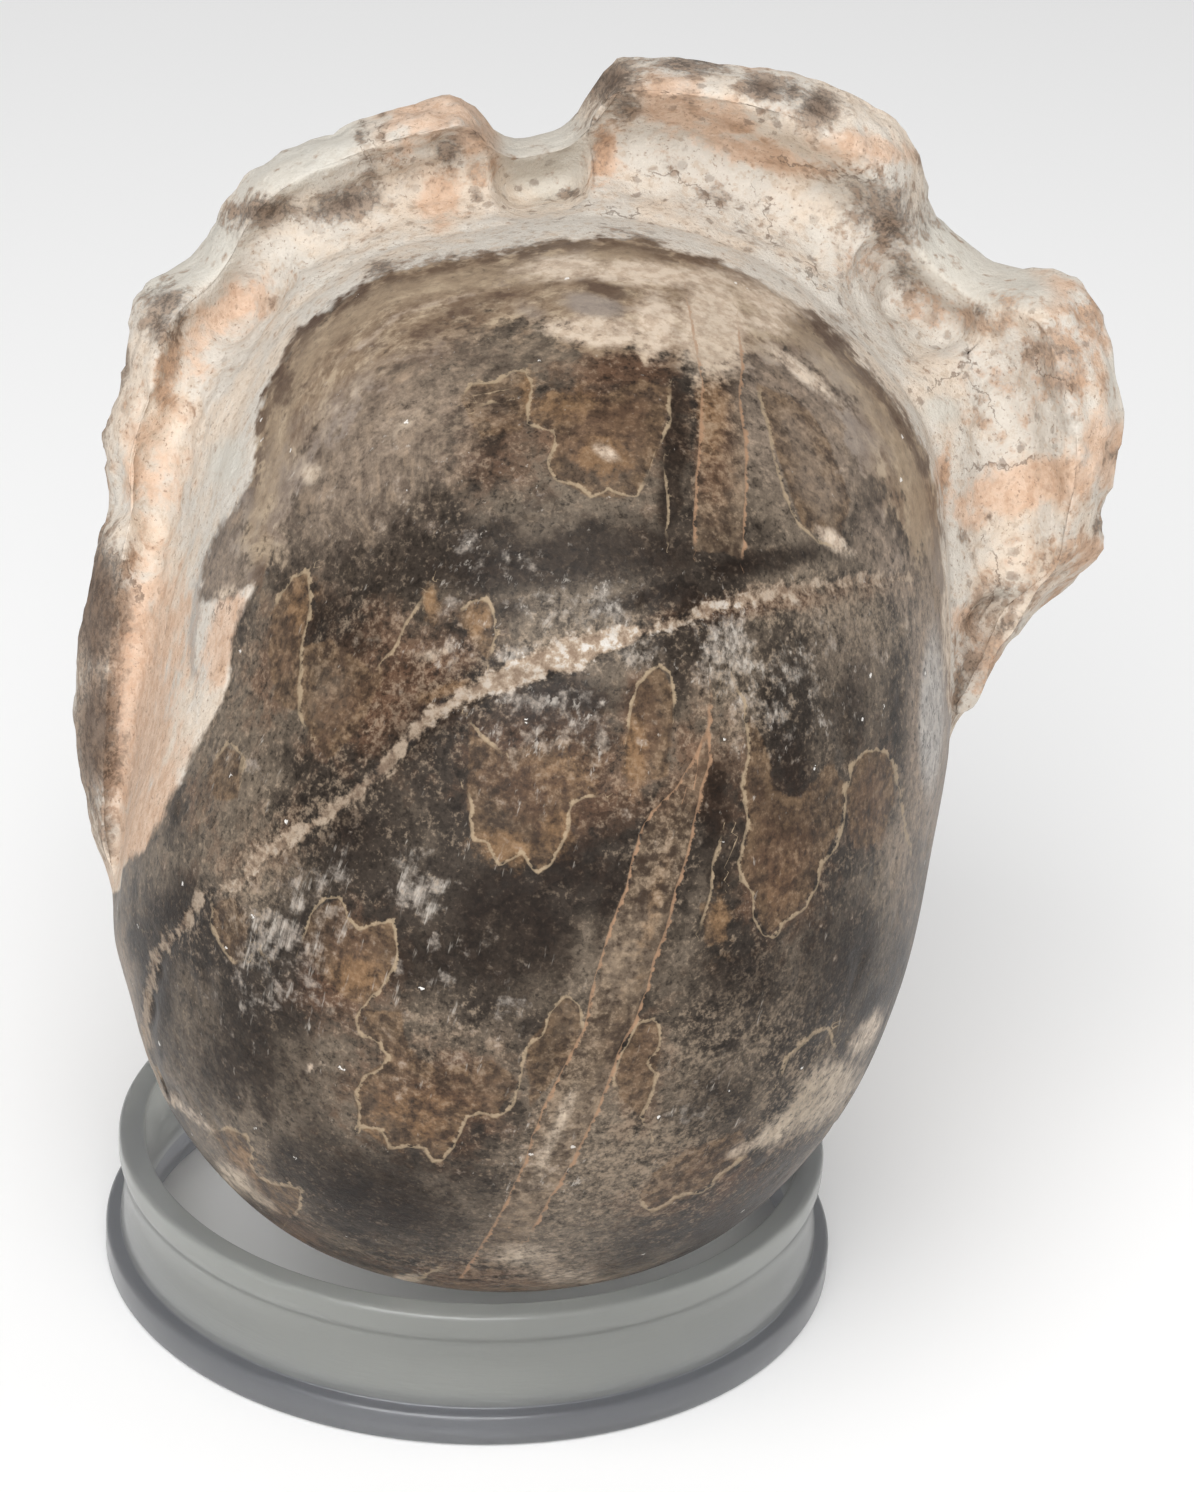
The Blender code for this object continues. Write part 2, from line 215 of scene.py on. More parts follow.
# Suture lines on the picture, thin and tan
SUTURES = (
    ((462, 399), (472, 383), (495, 382), (512, 371), (525, 369), (533, 386), (527, 406), (528, 422),
     (541, 429), (557, 431), (551, 452), (548, 466), (555, 479), (578, 485), (591, 497), (608, 489),
     (621, 495), (637, 496), (646, 479)),
    ((478, 408), (490, 402), (503, 402)),
    ((658, 449), (669, 426), (671, 389)),
    ((664, 465), (668, 500), (667, 538)),
    ((757, 385), (766, 418), (774, 450), (786, 496), (801, 526), (818, 541), (839, 549)),
    ((273, 611), (280, 594), (290, 580), (308, 568), (312, 601), (302, 646), (299, 713), (308, 731)),
    ((214, 763), (225, 746), (231, 742), (243, 755), (240, 777)),
    ((425, 603), (431, 583), (436, 598)),
    ((431, 588), (407, 621), (394, 649), (375, 672)),
    ((458, 614), (470, 604), (487, 598), (494, 616), (496, 634), (490, 660)),
    ((468, 719), (480, 735), (500, 752)),
    ((466, 790), (471, 803), (472, 841), (487, 842), (499, 865), (522, 853), (538, 872), (553, 862),
     (566, 834), (570, 804), (585, 797), (600, 796)),
    ((212, 900), (212, 927), (225, 952), (233, 964), (242, 962)),
    ((257, 946), (267, 959)),
    ((300, 943), (309, 914), (324, 898), (340, 895), (348, 919), (359, 931), (375, 922), (394, 920),
     (398, 950), (390, 973), (379, 991), (355, 1017), (358, 1035), (376, 1041), (389, 1057),
     (382, 1070), (364, 1076), (354, 1094), (362, 1108), (358, 1127), (382, 1129), (389, 1149),
     (408, 1146), (424, 1147), (431, 1163), (440, 1164), (456, 1143), (467, 1116), (481, 1113),
     (496, 1119), (512, 1104), (520, 1080), (526, 1047), (542, 1036), (549, 1014), (567, 996),
     (579, 1003), (581, 1033)),
    ((617, 1092), (614, 1078), (622, 1050), (637, 1025), (658, 1016), (660, 1044), (648, 1064),
     (658, 1074), (651, 1094), (640, 1117), (648, 1131)),
    ((717, 689), (722, 676)),
    ((736, 684), (744, 708), (749, 738), (748, 757), (742, 785), (745, 806), (749, 822), (745, 842),
     (739, 864), (740, 881), (752, 892), (754, 917), (764, 935), (774, 937), (785, 921), (805, 909),
     (814, 891), (823, 862), (837, 847), (842, 824), (846, 789), (852, 765), (864, 752), (881, 749),
     (893, 762), (900, 790), (906, 830), (913, 862)),
    ((626, 734), (632, 706), (638, 686), (648, 673), (658, 666), (670, 674), (676, 692), (675, 713)),
    ((723, 833), (712, 866), (711, 894), (700, 930)),
    ((214, 1132), (229, 1127), (247, 1136), (253, 1149), (251, 1164), (259, 1179), (282, 1185),
     (303, 1190), (299, 1207), (291, 1219)),
    ((777, 1080), (789, 1055), (811, 1036), (828, 1027), (836, 1053)),
    ((636, 1196), (642, 1207), (654, 1213), (676, 1198), (704, 1190), (721, 1174), (750, 1154)),
    ((395, 1284), (420, 1278), (436, 1268), (447, 1271)),
)
# The two edges of the siphuncle, orange and thin
SIPHUNCLE = (
    ((686, 293), (694, 335), (703, 381), (701, 434), (696, 488), (694, 548)),
    ((738, 323), (742, 360), (740, 404), (745, 434), (746, 488), (742, 561)),
    ((711, 689), (711, 724), (702, 742), (691, 765), (676, 789), (652, 812), (641, 833), (632, 865),
     (626, 891), (611, 927), (594, 985), (586, 1024), (564, 1068), (543, 1109), (523, 1168),
     (502, 1212), (476, 1256), (455, 1284)),
    ((708, 700), (710, 759), (702, 786), (695, 824), (685, 865), (676, 891), (667, 930), (655, 959),
     (647, 994), (636, 1020), (618, 1056), (599, 1109), (573, 1162), (552, 1197), (530, 1234)),
)
# Dark hairline cracks across the hood
HAIRLINES = (
    ((924, 398), (938, 380), (960, 376), (968, 362), (966, 340)),
    ((968, 374), (982, 390), (996, 404), (1003, 426)),
    ((770, 162), (810, 168), (850, 174), (884, 176)),
    ((960, 462), (985, 470), (1010, 468), (1040, 460)),
    ((640, 176), (662, 170), (690, 186), (712, 200), (728, 214)),
    ((760, 196), (772, 214), (768, 238), (784, 252)),
    ((800, 262), (818, 280), (836, 286)),
    ((362, 112), (366, 140), (362, 172)),
    ((376, 118), (380, 150)),
    ((110, 543), (122, 560), (133, 581), (140, 610)),
    ((990, 545), (1000, 566), (994, 590), (985, 612)),
    ((208, 560), (226, 590), (222, 620)),
    ((148, 320), (168, 334), (176, 352)),
    ((1030, 350), (1044, 372), (1064, 384), (1070, 404)),
    ((600, 206), (628, 214), (650, 208)),
)
# The thin blue-grey line between the left wall and the bulb
WALL_LINE = (((232, 512), (216, 538), (204, 566), (198, 592), (194, 622), (192, 655), (195, 684)),)
# The areas between the siphuncle's edges: down one edge and back up the other
SIPHUNCLE_FILL = (
    SIPHUNCLE[0] + SIPHUNCLE[1][::-1] + ((712, 300),),
    ((711, 740),) + SIPHUNCLE[2][3:] + ((505, 1270),) + SIPHUNCLE[3][2:-1][::-1],
)
# The calcite vein that crosses the bulb: (x, y, half width)
VEIN = ((173, 1102, 3), (153, 1076, 3), (144, 1041, 4), (147, 997, 4), (157, 955, 4), (180, 930, 4),
        (201, 896, 5), (222, 890, 4), (239, 885, 6), (259, 856, 6), (290, 838, 5), (318, 822, 5),
        (340, 804, 4), (359, 791, 6), (387, 763, 6), (404, 744, 4), (421, 725, 7), (446, 706, 6),
        (473, 691, 8), (504, 677, 11), (542, 663, 16), (570, 652, 17), (600, 644, 14), (638, 633, 6),
        (679, 622, 4), (707, 611, 5), (732, 602, 5), (755, 598, 5), (787, 590, 6), (820, 586, 5),
        (851, 580, 5), (880, 580, 4), (908, 577, 3))
# Chambers filled with amber calcite, inside the suture lines
AMBER = (
    ((462, 399), (472, 383), (495, 382), (525, 369), (533, 386), (527, 422), (557, 431), (548, 466),
     (555, 479), (591, 497), (637, 496), (658, 449), (671, 389), (640, 380), (590, 400), (550, 390),
     (520, 430), (480, 440)),
    ((273, 611), (290, 580), (308, 568), (312, 601), (302, 646), (299, 713), (275, 700), (268, 650)),
    ((308, 731), (299, 713), (302, 646), (330, 640), (375, 672), (394, 649), (360, 730), (330, 760)),
    ((207, 770), (225, 746), (243, 755), (238, 800), (215, 800)),
    ((455, 614), (487, 598), (496, 634), (490, 664), (470, 640)),
    ((425, 603), (431, 583), (440, 605), (436, 628), (424, 620)),
    ((468, 719), (480, 735), (500, 752), (560, 740), (600, 796), (570, 804), (566, 834), (553, 862),
     (538, 872), (522, 853), (499, 865), (487, 842), (472, 841), (466, 790), (470, 750)),
    ((212, 905), (212, 927), (233, 964), (242, 962), (250, 920), (232, 898)),
    ((300, 943), (309, 914), (340, 895), (348, 919), (375, 922), (394, 920), (398, 950), (379, 991),
     (355, 1017), (376, 1041), (389, 1057), (364, 1076), (354, 1094), (358, 1127), (389, 1149),
     (424, 1147), (440, 1164), (467, 1116), (496, 1119), (520, 1080), (490, 1060), (440, 1070),
     (410, 1050), (400, 1010), (380, 1010), (350, 1000), (320, 975)),
    ((526, 1047), (549, 1014), (567, 996), (581, 1008), (575, 1050), (545, 1090), (530, 1110)),
    ((617, 1092), (622, 1050), (637, 1025), (658, 1016), (660, 1044), (658, 1074), (640, 1117)),
    ((744, 708), (748, 757), (742, 785), (749, 822), (739, 864), (752, 892), (764, 935), (785, 921),
     (814, 891), (823, 862), (842, 824), (846, 789), (830, 760), (800, 800), (775, 790), (765, 740)),
    ((852, 765), (864, 752), (881, 749), (893, 762), (896, 800), (880, 840), (856, 850), (846, 800)),
    ((626, 734), (638, 686), (658, 666), (676, 692), (672, 740), (668, 778), (622, 780)),
    ((699, 903), (729, 900), (728, 940), (706, 946)),
    ((214, 1132), (229, 1127), (247, 1136), (259, 1179), (303, 1190), (299, 1207), (291, 1219),
     (262, 1205), (230, 1165)),
    ((640, 1196), (654, 1213), (704, 1190), (750, 1154), (740, 1130), (690, 1150), (655, 1170)),
    ((757, 385), (774, 450), (801, 526), (839, 549), (850, 500), (830, 440), (800, 400)),
)

# Each finish's patches on the picture: (x, y, half length, half width, turn, strength)
PEACH = (
    (440, 112, 62, 20, -10, 0.9), (478, 140, 30, 30, 20, 0.7), (438, 202, 26, 20, -60, 0.9),
    (404, 150, 16, 26, 0, 0.6), (232, 312, 46, 24, -25, 0.8), (196, 345, 18, 44, 10, 0.7),
    (168, 372, 18, 30, 15, 0.6), (150, 470, 34, 90, 5, 0.60), (140, 700, 34, 130, 4, 1.0),
    (152, 820, 30, 70, 20, 1.0), (226, 628, 18, 46, 12, 1.2), (176, 640, 30, 80, 0, 0.62),
    (672, 104, 42, 30, 10, 0.9), (725, 118, 40, 20, 20, 0.8), (864, 148, 60, 15, 8, 0.8),
    (780, 70, 60, 10, 10, 0.5), (750, 150, 84, 15, 16, 0.8), (605, 160, 14, 34, 5, 0.8),
    (1060, 290, 46, 16, 20, 0.7), (1040, 484, 88, 22, -14, 1.05), (1104, 450, 26, 40, 0, 0.9),
    (975, 520, 14, 12, 0, 1.0), (1092, 560, 26, 30, 20, 0.8), (1060, 600, 26, 14, -30, 0.7),
    (962, 618, 12, 16, 0, 0.9), (1016, 560, 40, 10, -20, 0.5), (948, 705, 8, 26, 20, 0.6),
    (1000, 660, 16, 10, -40, 0.7), (975, 690, 12, 16, 20, 0.5), (940, 470, 8, 26, 10, 0.8),
    (1090, 360, 26, 50, 0, 0.6), (1050, 300, 60, 20, 20, 0.5), (220, 676, 5, 10, -10, 1.4),
)
# Dark stains on the hood, and painted shade down its left rim, where the strongest patches lie
STAIN_AND_SHADE = (
    (263, 212, 36, 15, -8, 1.15), (345, 205, 42, 16, -14, 1.2), (371, 180, 10, 22, 0, 0.9),
    (361, 134, 4, 24, 4, 0.8), (383, 126, 4, 22, 4, 0.7), (449, 152, 14, 16, 0, 1.1),
    (476, 197, 9, 7, 0, 0.9), (400, 172, 16, 12, 0, 0.6), (470, 132, 20, 8, 30, 0.5),
    (165, 300, 22, 16, -20, 1.1), (158, 325, 14, 26, 0, 1.0), (180, 318, 8, 20, 0, 0.8),
    (124, 368, 6, 28, 6, 0.9), (612, 80, 30, 22, -30, 1.25), (626, 104, 16, 16, 0, 1.1),
    (688, 64, 40, 10, 8, 1.1), (764, 87, 19, 13, 0, 1.4), (793, 90, 9, 12, 0, 1.1),
    (818, 108, 22, 19, 0, 1.3), (830, 88, 8, 12, 0, 0.6), (815, 140, 8, 8, 0, 0.6),
    (923, 158, 6, 18, -10, 0.8), (870, 190, 52, 14, 12, 0.8), (886, 216, 40, 34, 40, 1.0),
    (904, 268, 16, 26, -10, 0.8), (718, 198, 24, 9, 5, 0.8), (668, 170, 10, 8, 0, 0.6),
    (566, 195, 14, 4, -8, 0.9), (780, 236, 18, 10, 30, 0.5), (752, 250, 12, 16, 0, 0.4),
    (637, 240, 26, 8, 12, 0.95), (536, 246, 36, 8, -6, 0.8), (382, 268, 16, 8, -8, 1.0),
    (456, 262, 50, 8, -6, 0.95), (981, 311, 9, 7, 0, 1.0), (1040, 330, 14, 6, -20, 0.5),
    (836, 322, 14, 12, 30, 0.6), (840, 340, 10, 14, -40, 0.8), (880, 392, 10, 44, -42, 1.0),
    (914, 436, 8, 26, -28, 0.9), (1119, 456, 10, 6, 10, 0.9), (1099, 527, 12, 10, 0, 0.9),
    (989, 517, 9, 5, 40, 0.9), (963, 537, 8, 8, 0, 0.7), (1006, 626, 20, 8, -20, 0.95),
    (970, 660, 10, 12, 0, 0.9), (958, 690, 10, 36, 10, 0.8), (94, 555, 14, 44, 3, 1.0),
    (92, 780, 14, 46, -4, 0.95), (106, 835, 12, 26, -6, 0.9), (100, 470, 8, 60, 4, 0.75),
    (240, 330, 10, 5, -20, 0.5), (275, 300, 12, 6, -20, 0.5), (1030, 352, 10, 12, 0, 0.6),
    (650, 130, 10, 6, 0, 0.5), (740, 226, 12, 6, 30, 0.6), (1074, 420, 8, 6, 0, 0.6),
    (976, 402, 8, 6, 0, 0.6), (1024, 590, 10, 6, 0, 0.5), (690, 96, 10, 8, 0, 0.6),
    (590, 120, 7, 14, 0, 0.7), (1046, 560, 8, 14, 0, 0.5), (98, 610, 24, 66, 3, 1.6),
    (96, 730, 22, 70, 3, 1.5), (990, 610, 44, 24, -34, 0.62),
)
RUST = (
    (600, 150, 10, 40, 6, 0.9), (476, 172, 12, 14, 0, 1.0), (403, 161, 9, 8, 0, 0.9),
    (450, 172, 12, 12, 0, 0.8), (492, 168, 9, 9, 0, 0.7), (169, 364, 14, 28, 12, 1.0),
    (158, 392, 14, 18, 0, 0.8), (735, 128, 50, 7, 24, 0.55), (840, 170, 76, 5, 6, 0.8),
    (955, 316, 54, 14, 8, 0.9), (1006, 321, 9, 14, 20, 1.0), (1056, 362, 44, 38, 30, 0.9),
    (1090, 310, 26, 20, 30, 0.8), (1010, 300, 30, 12, -20, 0.6), (976, 420, 16, 8, 20, 0.8),
    (1067, 552, 8, 26, 10, 0.9), (1050, 600, 22, 10, -40, 0.8), (944, 478, 5, 30, 8, 0.9),
    (1000, 440, 20, 6, 40, 0.5), (250, 208, 26, 10, -10, 0.6), (100, 590, 12, 34, 0, 0.8),
    (110, 760, 12, 50, 0, 0.8), (130, 566, 8, 20, 30, 0.6), (104, 500, 8, 40, 0, 0.6),
    (962, 640, 10, 14, 0, 0.6), (990, 672, 12, 16, 30, 0.8), (126, 408, 8, 24, 20, 0.7),
    (870, 250, 30, 40, 30, 0.7), (930, 300, 30, 14, 20, 0.8), (1030, 420, 30, 14, -20, 0.5),
    (1084, 480, 20, 30, 0, 0.5), (986, 590, 24, 16, -30, 0.6), (640, 84, 30, 20, 0, 0.5),
    (1010, 540, 30, 8, -20, 0.5), (222, 664, 4, 12, 0, 0.6), (780, 110, 40, 10, 20, 0.5),
    (1050, 570, 60, 24, -34, 0.7), (980, 650, 26, 50, 20, 0.8), (1000, 380, 50, 40, 0, 0.45),
)
VALLEY = (
    (545, 150, 40, 46, 0, 1.0), (975, 262, 56, 36, 30, 1.0), (1000, 285, 50, 20, 12, 1.0),
    (190, 258, 52, 28, -25, 1.0), (306, 158, 66, 26, -30, 0.9), (1114, 380, 9, 50, 4, 0.6),
    (226, 462, 18, 26, 20, 0.8), (942, 410, 20, 14, 0, 0.8), (1012, 590, 30, 16, -20, 0.6),
)
SPECKLED = (
    (620, 200, 190, 34, 4, 1.0), (760, 235, 110, 40, 35, 1.0), (850, 320, 90, 36, 48, 1.0),
    (960, 400, 70, 60, 40, 1.0), (1000, 440, 60, 40, 0, 1.0), (360, 240, 130, 22, -12, 0.6),
    (250, 330, 60, 30, -40, 0.6), (440, 150, 60, 34, 0, 0.9), (740, 110, 130, 40, 15, 0.9),
    (1010, 600, 60, 60, -40, 0.9), (1060, 340, 50, 40, 0, 0.9), (100, 640, 30, 200, 0, 0.9),
)
PALE = (
    (560, 268, 50, 14, -5, 0.8), (596, 331, 52, 14, 5, 1.0), (655, 325, 26, 36, 0, 0.8),
    (712, 330, 34, 50, 0, 1.0), (768, 322, 26, 12, 30, 0.7), (806, 375, 52, 8, 38, 0.8),
    (312, 474, 15, 12, 0, 0.75), (606, 452, 18, 9, 30, 0.62), (832, 540, 25, 9, 38, 0.75),
    (822, 1094, 44, 24, -46, 0.9), (780, 1127, 38, 14, -38, 0.75), (868, 1034, 38, 12, -60, 0.7),
    (745, 1148, 26, 8, -25, 0.6), (236, 1178, 26, 10, 40, 0.8), (262, 1200, 26, 7, 34, 0.6),
    (520, 1256, 44, 14, 0, 0.6), (560, 1275, 60, 14, 6, 0.5), (404, 1280, 26, 7, -8, 0.7),
    (310, 1068, 6, 5, 0, 0.8), (322, 1064, 5, 4, 0, 0.7), (650, 274, 110, 13, 4, 0.8),
    (764, 300, 50, 14, 24, 0.75), (224, 594, 22, 8, -24, 0.6), (410, 420, 40, 6, -40, 0.5),
    (345, 402, 40, 5, -42, 0.5), (450, 300, 70, 5, -16, 0.5), (380, 330, 60, 5, -38, 0.5),
    (186, 1110, 40, 6, 38, 0.6), (430, 655, 30, 10, -20, 0.5), (735, 740, 10, 30, 0, 0.4),
    (556, 1130, 9, 70, 24, 0.62), (330, 1010, 8, 8, 0, 0.5), (330, 690, 20, 24, 0, 0.3),
    (700, 840, 8, 30, 10, 0.4),
)
DEEP = (
    (560, 560, 130, 26, -6, 1.0), (330, 480, 60, 30, -40, 0.4), (590, 545, 50, 26, 0, 0.9),
    (510, 935, 60, 56, 0, 1.1), (560, 740, 60, 40, 0, 0.6), (520, 545, 60, 34, -20, 0.7),
    (673, 470, 12, 80, 4, 0.95), (250, 1060, 70, 60, 20, 0.75), (770, 560, 60, 12, -10, 0.95),
    (715, 800, 16, 50, 10, 0.8), (720, 880, 14, 24, 0, 0.7), (790, 780, 22, 60, 8, 0.7),
    (320, 620, 30, 40, 0, 0.5), (660, 960, 20, 60, 20, 0.5), (868, 1004, 7, 22, 30, 1.0),
    (606, 290, 24, 6, 16, 1.3), (350, 640, 30, 30, 0, 0.5), (500, 530, 60, 18, -20, 0.7),
    (560, 400, 30, 20, 0, 0.4), (710, 1100, 50, 36, 0, 0.62), (830, 960, 50, 60, 30, 0.7),
    (610, 900, 14, 60, 16, 0.7), (270, 375, 22, 36, -40, 0.75), (330, 306, 60, 9, -32, 0.8),
    (450, 318, 90, 12, -24, 0.55), (812, 325, 38, 9, 38, 0.7), (400, 1200, 100, 50, 20, 0.7),
    (280, 1180, 30, 90, 30, 0.5), (430, 720, 60, 30, -40, 0.6), (640, 600, 60, 12, -16, 0.8),
    (560, 860, 50, 60, 0, 0.7), (340, 850, 60, 30, -30, 0.5), (430, 960, 50, 40, 0, 0.7),
    (770, 1220, 100, 30, -20, 0.6), (640, 1240, 60, 30, 0, 0.4), (180, 900, 24, 30, 20, 0.6),
    (905, 430, 60, 6, 62, 0.6), (580, 700, 70, 20, 0, 0.7), (790, 470, 14, 50, -20, 0.5),
    (160, 1000, 20, 60, -10, 0.6), (760, 980, 70, 40, 0, 0.6), (850, 700, 26, 80, 0, 0.62),
    (690, 600, 12, 30, 0, 0.7), (510, 610, 30, 12, -20, 0.6), (500, 400, 26, 16, 0, 0.5),
)
BROWN = (
    (430, 330, 150, 40, -32, 0.6), (320, 380, 70, 40, -40, 0.8), (600, 430, 80, 50, 0, 0.9),
    (500, 440, 60, 60, 0, 0.6), (620, 370, 60, 20, 0, 0.9), (800, 400, 60, 22, 42, 0.5),
    (400, 690, 90, 44, -35, 0.95), (560, 760, 90, 60, 0, 0.9), (260, 860, 70, 40, -30, 0.5),
    (430, 1090, 90, 60, 0, 0.7), (700, 760, 60, 60, 0, 0.7), (700, 1180, 90, 40, -20, 0.5),
    (290, 1230, 60, 20, 40, 0.6), (480, 1280, 120, 20, 4, 0.6), (280, 650, 30, 80, 16, 0.7),
    (640, 730, 20, 50, 0, 1.1), (780, 860, 40, 80, 0, 0.8), (870, 800, 26, 50, 0, 0.7),
    (350, 970, 60, 60, 30, 0.8), (560, 800, 50, 50, 0, 1.0), (780, 600, 120, 14, -8, 0.8),
    (370, 650, 50, 40, -40, 0.7), (640, 1070, 30, 70, 10, 0.6), (715, 440, 18, 70, 0, 1.1),
    (270, 470, 24, 60, 16, 0.5), (200, 800, 30, 50, 20, 0.5),
)
OCHRE = (
    (356, 975, 22, 17, 0, 1.1), (634, 750, 12, 32, 0, 0.9), (604, 456, 24, 20, 0, 0.9),
    (478, 622, 10, 18, 0, 0.9), (430, 600, 8, 14, 0, 0.8), (505, 848, 28, 16, 20, 0.9),
    (560, 830, 20, 22, 0, 0.7), (712, 410, 14, 44, 0, 1.0), (560, 405, 44, 22, 0, 0.5),
    (448, 690, 24, 8, -20, 0.9), (410, 1112, 50, 30, 0, 0.5), (560, 760, 50, 40, 0, 0.5),
    (244, 1160, 22, 12, 40, 0.7), (786, 880, 22, 44, 0, 0.3), (528, 388, 8, 18, 0, 0.8),
    (655, 900, 10, 60, 14, 0.6), (300, 600, 14, 30, 10, 0.6), (720, 920, 10, 24, 0, 0.9),
)
DUSTY = (
    (640, 1160, 90, 60, -20, 1.0), (760, 1020, 80, 70, -30, 0.8), (800, 1100, 60, 40, -50, 1.0),
    (300, 830, 80, 30, -35, 1.0), (430, 700, 90, 40, -35, 1.0), (350, 640, 50, 40, -30, 0.7),
    (580, 640, 90, 26, -14, 1.0), (800, 600, 120, 22, -8, 1.0), (400, 440, 120, 60, -38, 0.8),
    (240, 900, 50, 30, -30, 0.9), (440, 1050, 60, 50, 0, 0.7), (480, 1260, 90, 30, 0, 0.8),
    (820, 800, 50, 120, 0, 0.3), (860, 620, 60, 40, 0, 0.8), (250, 1190, 50, 26, 40, 0.8),
    (560, 770, 80, 40, 0, 0.6), (660, 850, 24, 90, 16, 0.8), (710, 430, 24, 80, 0, 0.7),
    (560, 1090, 16, 120, 24, 0.8), (700, 1080, 50, 60, 0, 0.8), (230, 660, 40, 70, 10, 0.4),
    (850, 440, 40, 40, 0, 0.7), (740, 700, 40, 50, 0, 0.8), (850, 880, 50, 60, 0, 0.3),
)
CRYSTAL = (
    (290, 940, 54, 60, 10, 1.1), (250, 1000, 40, 40, 0, 0.7), (420, 880, 34, 40, 0, 1.1),
    (330, 870, 40, 30, 0, 0.7), (580, 612, 60, 30, 0, 1.1), (520, 655, 34, 10, -10, 1.4),
    (634, 655, 22, 16, 0, 1.3), (548, 720, 80, 44, 10, 0.9), (730, 650, 30, 50, 0, 1.2),
    (775, 690, 60, 60, 0, 0.9), (450, 640, 40, 26, -20, 0.8), (480, 560, 80, 50, -30, 0.5),
    (410, 1080, 30, 24, 0, 0.5), (440, 980, 60, 50, 0, 0.6), (560, 1160, 60, 60, 0, 0.5),
    (520, 800, 60, 60, 0, 0.5), (700, 1110, 40, 30, 0, 0.7), (240, 770, 40, 30, 0, 0.5),
    (660, 870, 30, 50, 0, 0.6), (480, 1010, 60, 50, 0, 0.6), (350, 1010, 60, 60, 0, 0.4),
    (600, 650, 70, 16, -12, 1.2), (380, 470, 100, 60, -30, 0.35), (830, 640, 70, 50, 0, 0.5),
)
STREAKED = (
    (390, 345, 160, 50, -36, 1.0), (300, 450, 110, 50, -60, 0.9), (400, 470, 110, 40, -40, 0.7),
    (500, 360, 90, 26, -14, 0.6), (860, 430, 100, 40, 60, 0.7), (780, 360, 60, 30, 40, 0.5),
)
# Violet-grey calcite; the strongest patches, at the bulb's edges, are a painted sheen of reflected light
LILAC_AND_SHEEN = (
    (932, 710, 20, 130, 2, 1.5), (888, 560, 22, 70, -24, 0.75), (850, 640, 50, 60, 0, 0.35),
    (906, 860, 22, 90, -6, 0.6), (806, 430, 60, 84, -34, 0.98), (594, 306, 28, 11, 10, 1.1),
    (530, 312, 22, 14, 20, 0.5), (94, 900, 14, 60, 0, 1.2), (120, 980, 16, 60, -14, 0.8),
    (222, 574, 26, 34, 20, 1.0), (234, 520, 14, 40, 20, 0.8), (370, 450, 130, 66, -40, 0.82),
)

# The fields of lines that the stone's material reads: (name, lines)
LINE_FIELDS = (
    ("suture", SUTURES), ("siphuncle", SIPHUNCLE), ("hairline", HAIRLINES), ("wall_line", WALL_LINE),
)
# Its fields of areas: (name, outlines, how far outside them it reaches, value on the back)
REGION_FIELDS = (
    ("shell", (SHELL,), LINE_FAR, -60.0),
    ("amber", AMBER, BORDER_FAR, -12.0),
    ("siphuncle_fill", SIPHUNCLE_FILL, BORDER_FAR, -40.0),
)
# Its fields of patches: (name, patches, value on the back, how far noise moves that)
PATCH_FIELDS = (
    ("peach", PEACH, 0.22, 0.30), ("stain_and_shade", STAIN_AND_SHADE, 0.16, 0.34), ("rust", RUST, 0.12, 0.30),
    ("valley", VALLEY, 0.1, 0.2), ("speckled", SPECKLED, 0.5, 0.3), ("pale", PALE, 0.1, 0.2),
    ("deep", DEEP, 0.34, 0.3), ("brown", BROWN, 0.4, 0.3), ("dusty", DUSTY, 0.5, 0.0),
    ("ochre", OCHRE, 0.1, 0.2), ("crystal", CRYSTAL, 0.3, 0.2), ("streaked", STREAKED, 0.1, 0.1),
    ("lilac_and_sheen", LILAC_AND_SHEEN, 0.2, 0.2),
)


def ease(low, high, x):
    """0 below low, 1 above high, and a smooth step between."""
    t = np.clip((x - low) / (high - low), 0, 1)
    return t * t * (3 - 2 * t)


def blend_between(a, b, share):
    """From a at a share of 0 to b at a share of 1."""
    return a + (b - a) * share


def round_trip(points, angles):
    """A smooth closed curve through (angle, value) points: cubic pieces whose slope at each point
    is that of the parabola through it and its neighbours."""
    knots = np.array(points, float)
    at = np.concatenate([knots[-2:, 0] - 360, knots[:, 0], knots[:2, 0] + 360])
    value = np.concatenate([knots[-2:, 1], knots[:, 1], knots[:2, 1]])
    slope = np.gradient(value, at)
    turned = (np.asarray(angles, float) - at[1]) % 360 + at[1]
    i = np.clip(np.searchsorted(at, turned, side="right") - 1, 0, len(at) - 2)
    span = at[i + 1] - at[i]
    t = (turned - at[i]) / span
    start = (2 * t**3 - 3 * t**2 + 1) * value[i] + (t**3 - 2 * t**2 + t) * span * slope[i]
    end = (3 * t**2 - 2 * t**3) * value[i + 1] + (t**3 - t**2) * span * slope[i + 1]
    return start + end


def angle_from(angles, centre):
    """The signed turn from centre, between -180 and 180."""
    return (angles - centre + 180) % 360 - 180


def notch_cuts(angles):
    """How far the notches cut into the outline, and how far they lower the crest: a flat-topped
    bell for each, exp(-|turn / width| ^ square)."""
    cut = np.zeros_like(angles)
    drop = np.zeros_like(angles)
    for centre, width, square, depth, fall in NOTCHES:
        bump = np.exp(-(np.abs(angle_from(angles, centre)) / width) ** square)
        cut += depth * bump
        drop += fall * bump
    return cut, drop


def crest_height(angles):
    """The crest's height: its round trip, a bell for each pillow, and the notches taken off."""
    height = round_trip(CREST, angles)
    for centre, width, rise in PILLOWS:
        height += rise * np.exp(-(angle_from(angles, centre) / width) ** 2)
    return height - notch_cuts(angles)[1]


